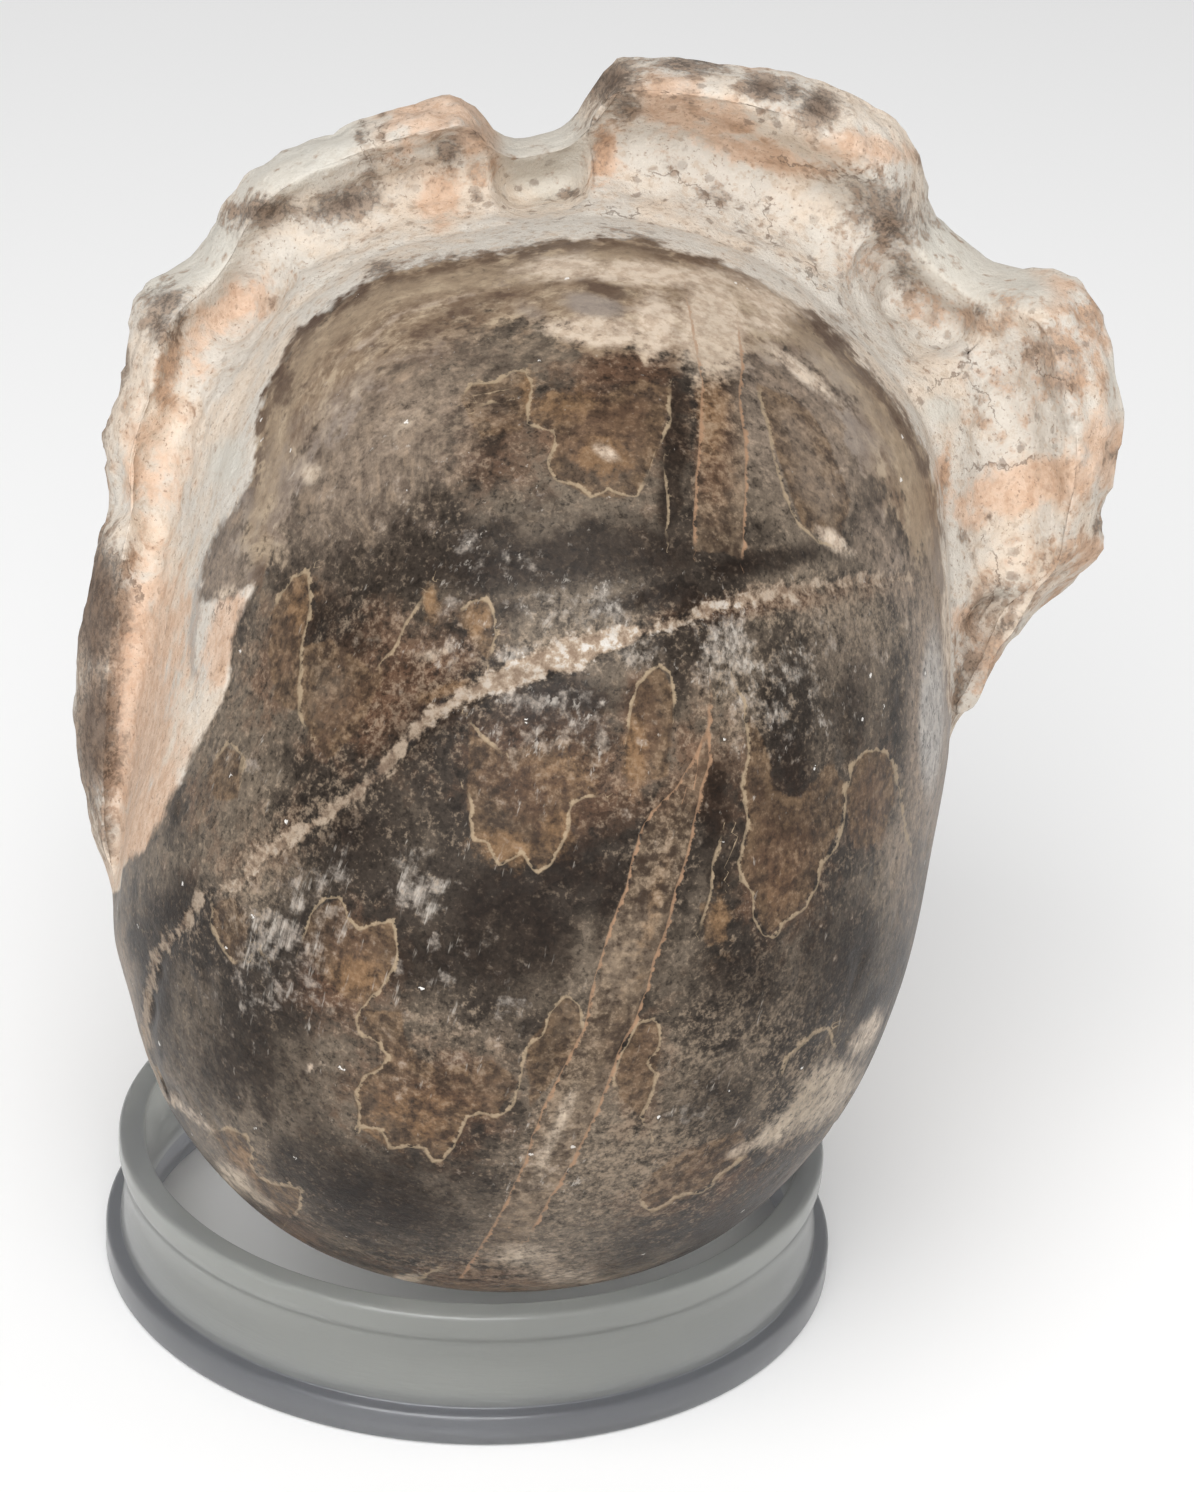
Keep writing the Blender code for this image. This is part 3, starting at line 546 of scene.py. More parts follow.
def hood_share(angles):
    """1 round the hood and 0 below its ends, where the bulb runs on to the back."""
    turned = angle_from(angles, HOOD_MIDDLE) + HOOD_MIDDLE
    (start, whole), (ends, gone) = HOOD_ENDS
    return ease(start, whole, turned) * (1 - ease(ends, gone, turned))


def pair(distance, height):
    """Places of a section, by their distance from the axis and their height."""
    return np.stack([distance, height], axis=-1)


def through(points, shares):
    """Catmull-Rom curves through four points, one curve for each angle, read at all the shares.
    They start along their first chord, and end straight along the height."""
    first = 2 * points[0] - points[1]
    last = points[3] + (points[3] - points[2]) * np.array([0.0, 1.0])
    row = np.stack([first, *points, last])
    i = np.minimum((shares * 3).astype(int), 2)
    t = (shares * 3 - i)[:, None, None]
    a, b, c, d = row[i], row[i + 1], row[i + 2], row[i + 3]
    return 0.5 * (2 * b + (c - a) * t + (2 * a - 5 * b + 4 * c - d) * t**2
                  + (3 * b - a - 3 * c + d) * t**3)


def hood_places(edge, bulb, touch, angles):
    """The four places that the hood's section runs through: the contact with the bulb, the trough's
    floor, the crest and the rim."""
    crest = crest_height(angles)
    contact = pair(bulb * np.sin(touch), BULB_FRONT * np.cos(touch))
    width = edge - contact[:, 0]
    above = np.minimum(contact[:, 1], crest + FLOOR_OVER_CREST)
    floor = pair(contact[:, 0] + TROUGH_SHARE * width, above - round_trip(TROUGH_DEPTH, angles))
    top = pair(edge - CREST_SHARE * width, crest)
    return contact, floor, top, pair(edge, crest - CREST_DROP)


def sections(angles):
    """All sections at once, as [row, angle, (distance from the axis, height)]: an ellipse over the
    bulb as far as the contact, a Catmull-Rom curve over trough, crest and rim, and a superellipse
    from the outline to the back pole."""
    edge = round_trip(EDGE, angles) - notch_cuts(angles)[0]
    bulb = round_trip(BULB, angles)
    touch = np.arcsin(round_trip(CONTACT, angles))

    def on_ellipse(lean):
        return pair(bulb * np.sin(lean), BULB_FRONT * np.cos(lean))

    over_bulb = on_ellipse(touch * (np.arange(1, BULB_ROWS + 1) / BULB_ROWS)[:, None])
    shares = np.arange(1, HOOD_ROWS + 1) / HOOD_ROWS
    plain = on_ellipse(touch + (np.pi / 2 - touch) * shares[:, None])
    hood = hood_share(angles)[None, :, None]
    over_hood = plain + hood * (through(hood_places(edge, bulb, touch, angles), shares) - plain)

    lean = (np.pi / 2 * np.arange(1, BACK_ROWS) / BACK_ROWS)[:, None]
    out = np.cos(lean) ** (2 / BACK_FULLNESS)
    down = np.sin(lean) ** (2 / BACK_FULLNESS)
    start = over_hood[-1]
    over_back = pair(start[:, 0] * out, start[:, 1] - (BACK_DEPTH + start[:, 1]) * down)
    return np.concatenate([over_bulb, over_hood, over_back])


def coil_axes():
    """The coil's axis, its up direction and the direction in which it looks, in the stone's frame."""
    lean, turn = math.radians(COIL_LEAN), math.radians(COIL_TURN)
    axis = np.array([math.cos(lean) * math.cos(turn), -math.sin(lean) * math.cos(turn),
                     -math.sin(turn)])
    up = np.array([math.sin(lean), math.cos(lean), 0.0])
    return axis, up, np.cross(axis, up)


def ribbed(points):
    """Low ribs over the whorl's back: a cosine of the turn round the coil, bent forwards by the
    square of the distance across it, added along the coil's radius."""
    axis, up, out = coil_axes()
    across = points @ axis
    along = np.degrees(np.arctan2(points @ up, points @ out)) % 360
    phase = along + RIB_BEND * across**2
    behind = ease(*RIB_START, -points[..., 2])
    wave = RIB_HEIGHT * np.cos(2 * np.pi * phase / RIB_STEP)
    radial = points - across[..., None] * axis
    radial /= np.maximum(np.linalg.norm(radial, axis=-1, keepdims=True), 1.0)
    flank = 1 - ease(*RIB_END, np.abs(across))
    return points + radial * (wave * behind * flank)[..., None]


def pitted(points):
    """The umbilical pits: a bell pressed towards the stone's inside, with a low ring round it."""
    moved = points.copy()
    for x, y, z, radius, depth in PITS:
        away = np.linalg.norm(points - (x, y, z), axis=-1)
        hollow = depth * np.exp(-(away / radius) ** 2 * PIT_STEEPNESS)
        from_ring = (away - SHOULDER_RADIUS * radius) / (SHOULDER_WIDTH * radius)
        shoulder = PIT_SHOULDER * np.exp(-from_ring**2)
        inward = -np.array([x, y, z]) / np.linalg.norm((x, y, z))
        moved += (hollow - shoulder)[..., None] * inward
    return moved


def scattered(corner, seed):
    """A value between -1 and 1 for each whole-number lattice corner, by mixing its bits."""
    mixed = np.bitwise_xor.reduce(corner * np.array(CORNER_MIXERS), axis=-1)
    mixed = (mixed + seed * SEED_MIXER) & ALL_BITS
    for shift, mixer in zip((15, 13), RESULT_MIXERS):
        mixed = ((mixed ^ (mixed >> shift)) * mixer) & ALL_BITS
    return (mixed ^ (mixed >> 16)) / (ALL_BITS // 2) - 1.0


def lattice_noise(points, size, seed):
    """Smooth noise: random values on a cubic lattice of this size, blended with an eased weight
    along each axis. The lattice is shifted, so that no two noises share their planes."""
    cell = points / size + LATTICE_SHIFT * (seed + 1)
    corner = np.floor(cell).astype(np.int64)
    part = cell - corner
    weight = part * part * (3 - 2 * part)
    total = np.zeros(points.shape[:-1])
    for step in np.ndindex(2, 2, 2):
        share = np.prod(np.where(step, weight, 1 - weight), axis=-1)
        total += share * scattered(corner + np.array(step), seed)
    return total


def layered_noise(points, size, seed, layers=3):
    """Lattice noise in layers, each half the size of the last and weaker by the layers' fade."""
    total = np.zeros(points.shape[:-1])
    strength = 1.0
    for layer in range(layers):
        total += strength * lattice_noise(points, size / 2**layer, seed + layer)
        strength *= LAYER_FADE
    return total


def grid_normals(points):
    """Outward normals of a [row, column] grid that closes on itself along its columns."""
    along = np.roll(points, -1, axis=1) - np.roll(points, 1, axis=1)
    down = np.gradient(points, axis=0)
    normals = np.cross(down, along)
    return normals / np.maximum(np.linalg.norm(normals, axis=-1, keepdims=True), 1e-9)


def to_world(points):
    """From the stone's millimetres to the world's metres: turned by the roll, then reclined, then
    moved onto the ring."""
    recline, roll = math.radians(STONE_RECLINE), math.radians(STONE_ROLL)
    turn = Matrix.Rotation(recline, 3, "X") @ Matrix.Rotation(roll, 3, "Z")
    return (points @ np.array(turn).T + STONE_PLACE) * MM + RING_CENTRE


def camera_axes():
    """The camera's right, up and forward directions."""
    down, roll = math.radians(CAMERA_DOWN), math.radians(CAMERA_ROLL)
    ahead = np.array([0.0, math.cos(down), -math.sin(down)])
    level = np.array([1.0, 0.0, 0.0])
    above = np.cross(level, ahead)
    right = math.cos(roll) * level + math.sin(roll) * above
    up = -math.sin(roll) * level + math.cos(roll) * above
    return right, up, ahead


def on_picture(points):
    """Where world points fall on the picture: seen along the camera's axes and divided by depth."""
    right, up, ahead = camera_axes()
    seen = points - (RING_CENTRE + np.array(CAMERA_PLACE) * MM)
    depth = seen @ ahead
    x = PICTURE_WIDTH / 2 + FOCAL_PIXELS * (seen @ right) / depth
    y = PICTURE_HEIGHT / 2 - FOCAL_PIXELS * (seen @ up) / depth
    return np.stack([x, y], axis=-1)


def line_field(places, lines):
    """For each place, its distance to the nearest of the lines, signed by the side of the line
    that it lies on, and the plain distance, both in pixels."""
    nearest = np.full(len(places), FAR_AWAY)
    side = np.ones(len(places))
    for line in lines:
        corners = np.array(line, float)
        for start, end in zip(corners[:-1], corners[1:]):
            run = end - start
            offset = places - start
            t = np.clip(offset @ run / (run @ run), 0, 1)
            away = np.linalg.norm(offset - t[:, None] * run, axis=1)
            closer = away < nearest
            turn = run[0] * offset[:, 1] - run[1] * offset[:, 0]
            nearest = np.where(closer, away, nearest)
            side = np.where(closer, np.where(turn < 0, -1.0, 1.0), side)
    return nearest * side, nearest


def line_ends(places, lines):
    """For each place, its distance to the nearest end of any of the lines, in pixels."""
    ends = np.array([end for line in lines for end in (line[0], line[-1])], float)
    return np.min(np.linalg.norm(places[:, None] - ends[None], axis=2), axis=1)


def inside(places, outline):
    """Which places lie inside a closed outline: those whose ray to the right crosses it an odd
    number of times."""
    x, y = places[:, 0], places[:, 1]
    odd = np.zeros(len(places), bool)
    corners = np.array(outline, float)
    for (x0, y0), (x1, y1) in zip(corners, np.roll(corners, -1, axis=0)):
        if y0 == y1:
            continue
        spans = (y0 > y) != (y1 > y)
        odd ^= spans & (x < (x1 - x0) * (y - y0) / (y1 - y0) + x0)
    return odd


def region_field(places, outlines):
    """Signed distance to a set of closed outlines, in pixels, positive inside."""
    best = np.full(len(places), -FAR_AWAY)
    for outline in outlines:
        away = line_field(places, [tuple(outline) + (outline[0],)])[1]
        best = np.maximum(best, np.where(inside(places, outline), away, -away))
    return best


def vein_field(places):
    """Signed distance to the calcite vein, in pixels, positive inside: for each stretch, its half
    width there less the distance to its middle line."""
    best = np.full(len(places), -FAR_AWAY)
    knots = np.array(VEIN, float)
    for start, end in zip(knots[:-1], knots[1:]):
        run = end[:2] - start[:2]
        offset = places - start[:2]
        t = np.clip(offset @ run / (run @ run), 0, 1)
        away = np.linalg.norm(offset - t[:, None] * run, axis=1)
        best = np.maximum(best, blend_between(start[2], end[2], t) - away)
    return best


def patch_field(places, patches):
    """How strongly patches colour each place: the largest of their bells, each the strength times
    exp(-fall * r^2), with r the distance from its middle in its own turned half axes."""
    best = np.zeros(len(places))
    for x, y, length, width, turn, strength in patches:
        lean = math.radians(turn)
        right, down = places[:, 0] - x, places[:, 1] - y
        along = (right * math.cos(lean) + down * math.sin(lean)) / length
        across = (down * math.cos(lean) - right * math.sin(lean)) / width
        best = np.maximum(best, strength * np.exp(-BELL_FALL * (along**2 + across**2)))
    return best


def back_border(points):
    """How far above the border of the dark whorls a place on the back lies, in millimetres: the
    parabola through three places, with folds like a suture's."""
    (x0, y0), (x1, y1), (x2, y2) = BACK_BORDER
    curve = np.polyfit((x0, x1, x2), (y0, y1, y2), 2)
    x = points[..., 0]
    phase = 2 * np.pi * x / BACK_FOLD_LENGTH
    fold = np.sin(phase) + 0.5 * np.sin(3 * phase + 1)
    return points[..., 1] - np.polyval(curve, x) - BACK_FOLD * fold


def where_worn(points, angles):
    """How broken, how polished and how crumbled each place of the grid is, from 0 to 1: broken is
    the pale stone, less in valleys and on the left wall, and crumbled is the vein."""
    row = np.arange(len(points))[:, None]
    on_hood = ease(BULB_ROWS - 1, BULB_ROWS + 8, row) * hood_share(angles)[None, :]
    behind = ease(BULB_ROWS + HOOD_ROWS - 2, BULB_ROWS + HOOD_ROWS + 6, row)
    pale = np.maximum(on_hood, behind * ease(-2, 3, back_border(points)))
    places = on_picture(to_world(points)).reshape(-1, 2)
    calm = patch_field(places, VALLEY).reshape(points.shape[:-1]) * (1 - behind)
    left_wall = ease(*LEFT_WALL, angles)[None, :] * (1 - behind)
    broken = pale * (1 - VALLEY_CALM * calm) * (1 - WALL_CALM * left_wall)
    vein = vein_field(places).reshape(points.shape[:-1])
    crumbled = ease(-6, 4, vein) * (1 - behind) * (1 - on_hood)
    return broken, 1 - pale, crumbled


def worn(points, angles):
    """The stone's surface with its wear pressed in along the normals, never outwards: gentle waves
    and pits on the polished bulb, lumps, ledges and chips on the broken stone."""
    broken, polished, crumbled = where_worn(points, angles)
    lumps = 0.5 + 0.5 * layered_noise(points, *LUMPS)
    ledges = np.abs(layered_noise(points * LEDGE_STRETCH, *LEDGES))
    chips = ease(0.30, 0.75, layered_noise(points, *CHIPS, layers=2))
    waves = 0.5 + 0.5 * lattice_noise(points, *WAVES)
    pits = ease(0.45, 0.8, lattice_noise(points, *PITTING))
    depth = broken * (LUMP_DEPTH * lumps + LEDGE_DEPTH * ledges + CHIP_DEPTH * chips)
    depth += polished * (WAVE_DEPTH * waves + PITTING_DEPTH * pits)
    depth += crumbled * (VEIN_DEPTH + VEIN_CHIP_DEPTH * chips + VEIN_PITTING_DEPTH * pits)
    return points - grid_normals(points) * (SKIN + np.maximum(depth, 0))[..., None]


def stone_surface():
    """The stone's grid in its own frame, its angles, and the same grid in the world."""
    angles = np.arange(COLUMNS) * 360.0 / COLUMNS
    profile = sections(angles)
    turn = np.radians(angles)
    flat = profile[..., 0]
    points = np.stack([flat * np.cos(turn), flat * np.sin(turn), profile[..., 1]], axis=-1)
    points = worn(pitted(ribbed(points)), angles)
    return points, angles, to_world(points)


def closed_grid(name, grid, first, last):
    """A mesh of rings of a [row, column] grid joined row to row, with a fan to a point at each
    end. Faces wind so that they point outwards."""
    rows, columns = grid.shape[:2]
    vertices = np.concatenate([[first], grid.reshape(-1, 3), [last]])
    here = 1 + np.arange(rows * columns).reshape(rows, columns)
    beside = np.roll(here, -1, axis=1)
    quads = np.stack([here[:-1], here[1:], beside[1:], beside[:-1]], axis=-1).reshape(-1, 4)
    top = np.stack([np.zeros(columns, int), here[0], beside[0]], axis=-1)
    bottom = np.stack([np.full(columns, len(vertices) - 1), beside[-1], here[-1]], axis=-1)
    corners = np.concatenate([top.ravel(), quads.ravel(), bottom.ravel()])
    sizes = np.concatenate([np.full(columns, 3), np.full(len(quads), 4), np.full(columns, 3)])
    starts = np.concatenate([[0], np.cumsum(sizes)[:-1]])
    made = bpy.data.meshes.new(name)
    made.vertices.add(len(vertices))
    made.vertices.foreach_set("co", vertices.ravel())
    made.loops.add(len(corners))
    made.loops.foreach_set("vertex_index", corners)
    made.polygons.add(len(sizes))
    made.polygons.foreach_set("loop_start", starts)
    made.polygons.foreach_set("loop_total", sizes)
    made.update(calc_edges=True)
    made.validate()
    made.shade_smooth()
    return made


def keep_field(mesh, name, values):
    """Stores a number, or a vector, for each vertex under a name that the material reads."""
    if values.ndim == 1:
        field = mesh.attributes.new(name, "FLOAT", "POINT")
        field.data.foreach_set("value", values.astype(np.float32))
    else:
        field = mesh.attributes.new(name, "FLOAT_VECTOR", "POINT")
        field.data.foreach_set("vector", values.astype(np.float32).ravel())


def with_poles(values):
    """The grid's values as one list, with the first row's first value for the front pole and the
    last row's for the back pole."""
    flat = values.reshape(-1, *values.shape[2:])
    return np.concatenate([flat[:1], flat, values[-1, :1]])


def dark_whorl_field(points, places, on_hood, facing):
    """How far inside the border of the dark whorls each place lies, in pixels: by the outline on
    the picture, with the hood taken out of it, and by the parabola across the back."""
    inward = region_field(places, (DARK_WHORLS,)).reshape(facing.shape)
    dark = (np.clip(inward, -BORDER_FAR, BORDER_FAR) - HOOD_FAR * on_hood) * facing
    dark -= (1 - facing) * PIXELS_PER_MM * back_border(points)
    return np.clip(dark, -BORDER_FAR, BORDER_FAR)


def stone_fields(points, angles, world):
    """Every field that the stone's material reads, for each vertex of the grid and the two poles.
    On the back they fade to values that leave the pattern to the material's own noise."""
    shape = points.shape[:-1]
    row = np.broadcast_to(np.arange(shape[0])[:, None], shape)
    facing = 1 - ease(BULB_ROWS + HOOD_ROWS, BULB_ROWS + HOOD_ROWS + 5, row)
    on_hood = ease(BULB_ROWS - 0.5, BULB_ROWS + 1.5, row) * hood_share(angles)[None, :]
    places = on_picture(world).reshape(-1, 2)

    def shown(values, behind):
        return blend_between(behind, values.reshape(shape), facing)

    fields = {"dark_whorls": dark_whorl_field(points, places, on_hood, facing)}
    for name, lines in LINE_FIELDS:
        signed, plain = line_field(places, lines)
        near_end = np.minimum(line_ends(places, lines), LINE_FAR)
        fields[name] = shown(np.clip(signed, -LINE_FAR, LINE_FAR), LINE_FAR)
        fields[name + "_ends"] = shown(np.where(plain < LINE_REACH, near_end, 0.0), 0.0)
    fields["vein"] = shown(np.maximum(vein_field(places), -LINE_FAR), -LINE_FAR)
    for name, outlines, far, behind in REGION_FIELDS:
        fields[name] = shown(np.maximum(region_field(places, outlines), -far), behind)
    for order, (name, patches, level, spread) in enumerate(PATCH_FIELDS):
        noise = layered_noise(points, BACK_PATCH, BACK_SEED + BACK_SEED_STEP * order, 2)
        fields[name] = shown(patch_field(places, patches), level + spread * noise)
    fields["cloud"] = layered_noise(points, *CLOUDS)
    return {name: with_poles(values) for name, values in fields.items()}


def whorl_places(angles, world):
    """For each vertex, a place that runs along the whorl, in metres: round the bulb on a cylinder,
    and along the cylinder by the distance from the whorl's crease."""
    inward = region_field(on_picture(world).reshape(-1, 2), (DARK_WHORLS,)).reshape(world.shape[:-1])
    turn = np.broadcast_to(np.radians(angles), inward.shape)
    around = np.stack([WHORL_RADIUS * np.cos(turn), WHORL_RADIUS * np.sin(turn),
                       WHORL_STRETCH * inward], axis=-1)
    return with_poles(around * MM)


class Wires:
    """Adds nodes to one node tree and joins them. A value that is a socket is joined, and any other
    is set on the input."""

    def __init__(self, tree):
        self.tree = tree

    def put(self, node, name, value):
        socket = node.inputs[name]
        if isinstance(value, bpy.types.NodeSocket):
            self.tree.links.new(value, socket)
        else:
            socket.default_value = value

    def node(self, kind, settings=None, **inputs):
        """A new node with its settings, and with its inputs, written with _ for each space."""
        made = self.tree.nodes.new(kind)
        for key, value in (settings or {}).items():
            setattr(made, key, value)
        for name, value in inputs.items():
            self.put(made, name.replace("_", " "), value)
        return made

    def maths(self, operation, *values):
        made = self.node("ShaderNodeMath", {"operation": operation})
        for i, value in enumerate(values):
            self.put(made, i, value)
        return made.outputs[0]

    def times(self, a, b):
        return self.maths("MULTIPLY", a, b)

    def moved(self, value, noise, amount):
        """The value moved by a noise round its middle: value + (noise - 0.5) * amount."""
        return self.maths("MULTIPLY_ADD", self.maths("SUBTRACT", noise, 0.5), amount, value)

    def without(self, mask, other, share=1.0):
        """The mask less this share of the other one: mask * (1 - share * other)."""
        return self.times(mask, self.maths("MULTIPLY_ADD", other, -share, 1.0))

    def step(self, value, low, high):
        """0 below low and 1 above high, with a smooth step between. It falls where low is the
        larger."""
        return self.node("ShaderNodeMapRange", {"interpolation_type": "SMOOTHSTEP"}, Value=value,
                         From_Min=low, From_Max=high).outputs[0]

    def span(self, value, low, high):
        """Takes a value between 0 and 1 to between low and high."""
        return self.node("ShaderNodeMapRange", Value=value, To_Min=low, To_Max=high).outputs[0]

    def blend(self, share, a, b):
        """A number between a and b."""
        made = self.node("ShaderNodeMix", {"data_type": "FLOAT"})
        for i, value in ((0, share), (2, a), (3, b)):
            self.put(made, i, value)
        return made.outputs[0]

    def mix(self, share, a, b, blend="MIX"):
        """A colour between a and b."""
        made = self.node("ShaderNodeMix", {"data_type": "RGBA", "blend_type": blend, "clamp_factor": True})
        for i, value in ((0, share), (6, a), (7, b)):
            self.put(made, i, value)
        return made.outputs[2]

    def over(self, shade, mask, strength, tone):
        """Lays a tone over the shade where the mask is, at this strength."""
        return self.mix(self.times(mask, strength), shade, tone)

    def layers(self, shade, *layers):
        """Lays each (mask, strength, tone) over the last."""
        for mask, strength, tone in layers:
            shade = self.over(shade, mask, strength, tone)
        return shade

    def noise(self, vector, scale, detail=2.0, roughness=0.5):
        return self.node("ShaderNodeTexNoise", Vector=vector, Scale=scale, Detail=detail,
                         Roughness=roughness).outputs["Fac"]

    def turned(self, vector, turn, stretch):
        """The vector turned by Euler angles in degrees and stretched."""
        angles = tuple(math.radians(angle) for angle in turn)
        spun = self.node("ShaderNodeMapping", Vector=vector, Rotation=angles)
        return self.node("ShaderNodeMapping", Vector=spun.outputs[0], Scale=stretch).outputs[0]

    def group(self, tree, **inputs):
        return self.node("ShaderNodeGroup", {"node_tree": tree}, **inputs).outputs

    def attribute(self, name):
        return self.node("ShaderNodeAttribute", {"attribute_name": name}).outputs

    def field(self, name):
        return self.attribute(name)["Fac"]


def new_group(name, inputs, outputs):
    """A shader node group with named sockets. Each input is a number with its default, or a vector
    where that is None, and each output is a number."""
    tree = bpy.data.node_groups.new(name, "ShaderNodeTree")
    for label, default in inputs.items():
        kind = "NodeSocketVector" if default is None else "NodeSocketFloat"
        socket = tree.interface.new_socket(label, in_out="INPUT", socket_type=kind)
        if default is not None:
            socket.default_value = default
    for label in outputs:
        tree.interface.new_socket(label, in_out="OUTPUT", socket_type="NodeSocketFloat")
    wires = Wires(tree)
    return tree, wires, wires.node("NodeGroupInput").outputs, wires.node("NodeGroupOutput")


def ragged_patch_group():
    """A patch with a ragged edge: two noises move the field before its threshold."""
    tree, wires, given, result = new_group(
        "ragged_patch",
        {"Field": 0.0, "Threshold": 0.5, "Coarse Noise": 0.5, "Wander": 1.0, "Fine Noise": 0.5,
         "Fray": 0.5, "Softness": 0.1},
        ("Mask",))
    value = wires.maths("SUBTRACT", given["Field"], given["Threshold"])
    value = wires.moved(value, given["Coarse Noise"], given["Wander"])
    value = wires.moved(value, given["Fine Noise"], given["Fray"])
    low = wires.times(given["Softness"], -1.0)
    wires.put(result, "Mask", wires.step(value, low, given["Softness"]))
    return tree


def drawn_line_group():
    """A thin line where a signed distance is near nothing. Noise makes it waver, thin and fade,
    and it dies out near its ends."""
    tree, wires, given, result = new_group(
        "drawn_line",
        {"Distance": 0.0, "Ends": 60.0, "Width": 2.0, "Coarse Noise": 0.5, "Waver": 10.0,
         "Fine Noise": 0.5, "Fray": 6.0},
        ("Mask",))
    away = wires.moved(given["Distance"], given["Coarse Noise"], given["Waver"])
    away = wires.maths("ABSOLUTE", wires.moved(away, given["Fine Noise"], given["Fray"]))
    width = wires.times(given["Width"], wires.step(given["Fine Noise"], 0.2, 0.7))
    line = wires.step(wires.maths("DIVIDE", away, wires.times(width, 2.0)), 1.25, 0.35)
    wires.put(result, "Mask", wires.times(line, wires.step(given["Ends"], 1.0, 12.0)))
    return tree


def facets_group():
    """Crystal facets: cells of random brightness, and on a few of them painted glints, as frayed dots."""
    tree, wires, given, result = new_group(
        "facets", {"Vector": None, "Scale": 1400.0, "Fine Noise": 0.5}, ("Light", "Painted Glint"))
    cells = wires.node("ShaderNodeTexVoronoi", Vector=given["Vector"], Scale=given["Scale"])
    chosen = wires.node("ShaderNodeSeparateColor", Color=cells.outputs["Color"])
    wires.put(result, "Light", chosen.outputs[0])
    bright = wires.maths("GREATER_THAN", chosen.outputs[1], 0.993)
    frayed = wires.moved(cells.outputs["Distance"], given["Fine Noise"], 1.4)
    wires.put(result, "Painted Glint", wires.times(bright, wires.step(frayed, 0.24, 0.1)))
    return tree


def specks_group():
    """Scattered specks: round cells of a Voronoi pattern, of which only a share is kept, with
    outlines that a noise frays."""
    tree, wires, given, result = new_group(
        "specks", {"Vector": None, "Scale": 900.0, "Size": 0.3, "Share": 0.2, "Fine Noise": 0.5},
        ("Mask",))
    cells = wires.node("ShaderNodeTexVoronoi", Vector=given["Vector"], Scale=given["Scale"])
    chosen = wires.node("ShaderNodeSeparateColor", Color=cells.outputs["Color"])
    kept = wires.maths("LESS_THAN", chosen.outputs[0], given["Share"])
    size = wires.times(given["Size"], wires.span(chosen.outputs[1], 0.4, 1.5))
    frayed = wires.moved(cells.outputs["Distance"], given["Fine Noise"], 1.3)
    spot = wires.step(wires.maths("DIVIDE", frayed, size), 1.2, 0.6)
    wires.put(result, "Mask", wires.times(spot, kept))
    return tree


def hairs_group():
    """Short hairs of crystal, from noise drawn out along one direction: bright ones, and the
    shadows between them."""
    tree, wires, given, result = new_group(
        "crystal_hairs", {"Vector": None, "Scale": 1500.0, "Amount": 0.5}, ("Mask", "Shadow"))
    drawn = wires.turned(given["Vector"], (0.0, -12.0, 0.0), (1.0, 1.0, 0.12))
    fibres = wires.noise(drawn, given["Scale"], 3.0, 0.75)
    low = wires.maths("MULTIPLY_ADD", given["Amount"], -0.15, 0.65)
    wires.put(result, "Mask", wires.step(fibres, low, wires.maths("ADD", low, 0.12)))
    wires.put(result, "Shadow", wires.times(wires.step(fibres, 0.46, 0.36), given["Amount"]))
    return tree


def colour(red, green, blue):
    """A colour as seen on a screen, 0 to 255, turned to the linear values that a shader takes."""
    def linear(value):
        share = value / 255
        return share / 12.92 if share <= 0.04045 else ((share + 0.055) / 1.055) ** 2.4
    return linear(red), linear(green), linear(blue), 1.0


def new_material(name, **values):
    """A material, its shader with these values on its own sockets, and wires for its tree."""
    made = bpy.data.materials.new(name)
    made.use_nodes = True
    shader = made.node_tree.nodes["Principled BSDF"]
    for label, value in values.items():
        shader.inputs[label.replace("_", " ")].default_value = value
    return made, shader, Wires(made.node_tree)


class StoneWires(Wires):
    """Wires for the stone, with the noises and the groups that all its finishes share."""

    def __init__(self, tree, groups):
        super().__init__(tree)
        self.groups = groups
        self.place = self.node("ShaderNodeTexCoord").outputs["Object"]
        self.coarse = self.noise(self.place, 420.0, 3.0, 0.6)
        self.mid = self.noise(self.place, 1000.0, 3.0, 0.65)
        self.fine = self.noise(self.place, 2700.0, 2.0, 0.7)
        self.cloud = self.maths("MULTIPLY_ADD", self.coarse, 2.0, self.field("cloud"))

    def patch(self, name, threshold, wander, fray, softness):
        """Where a named field passes a threshold, with an edge that the coarse noise wanders, the
        mid noise frays, and the softness blurs."""
        return self.group(self.groups["ragged"], Field=self.field(name), Threshold=threshold,
                          Coarse_Noise=self.coarse, Wander=wander, Fine_Noise=self.mid, Fray=fray,
                          Softness=softness)[0]

    def line(self, name, width, waver, fray):
        """A named set of lines of this width, which the coarse noise wavers and the mid noise
        frays, all in pixels."""
        return self.group(self.groups["line"], Distance=self.field(name),
                          Ends=self.field(name + "_ends"), Width=width, Coarse_Noise=self.coarse,
                          Waver=waver, Fine_Noise=self.mid, Fray=fray)[0]

    def mottled(self, low, high, dark, light):
        """Two tones in the pattern of the mid noise, dark below low and light above high."""
        return self.mix(self.step(self.mid, low, high), dark, light)

    def lit_by(self, shade, light):
        """Multiplies the shade by a brightness that varies over the surface."""
        grey = self.node("ShaderNodeCombineColor", Red=light, Green=light, Blue=light)
        return self.mix(1.0, shade, grey.outputs[0], "MULTIPLY")


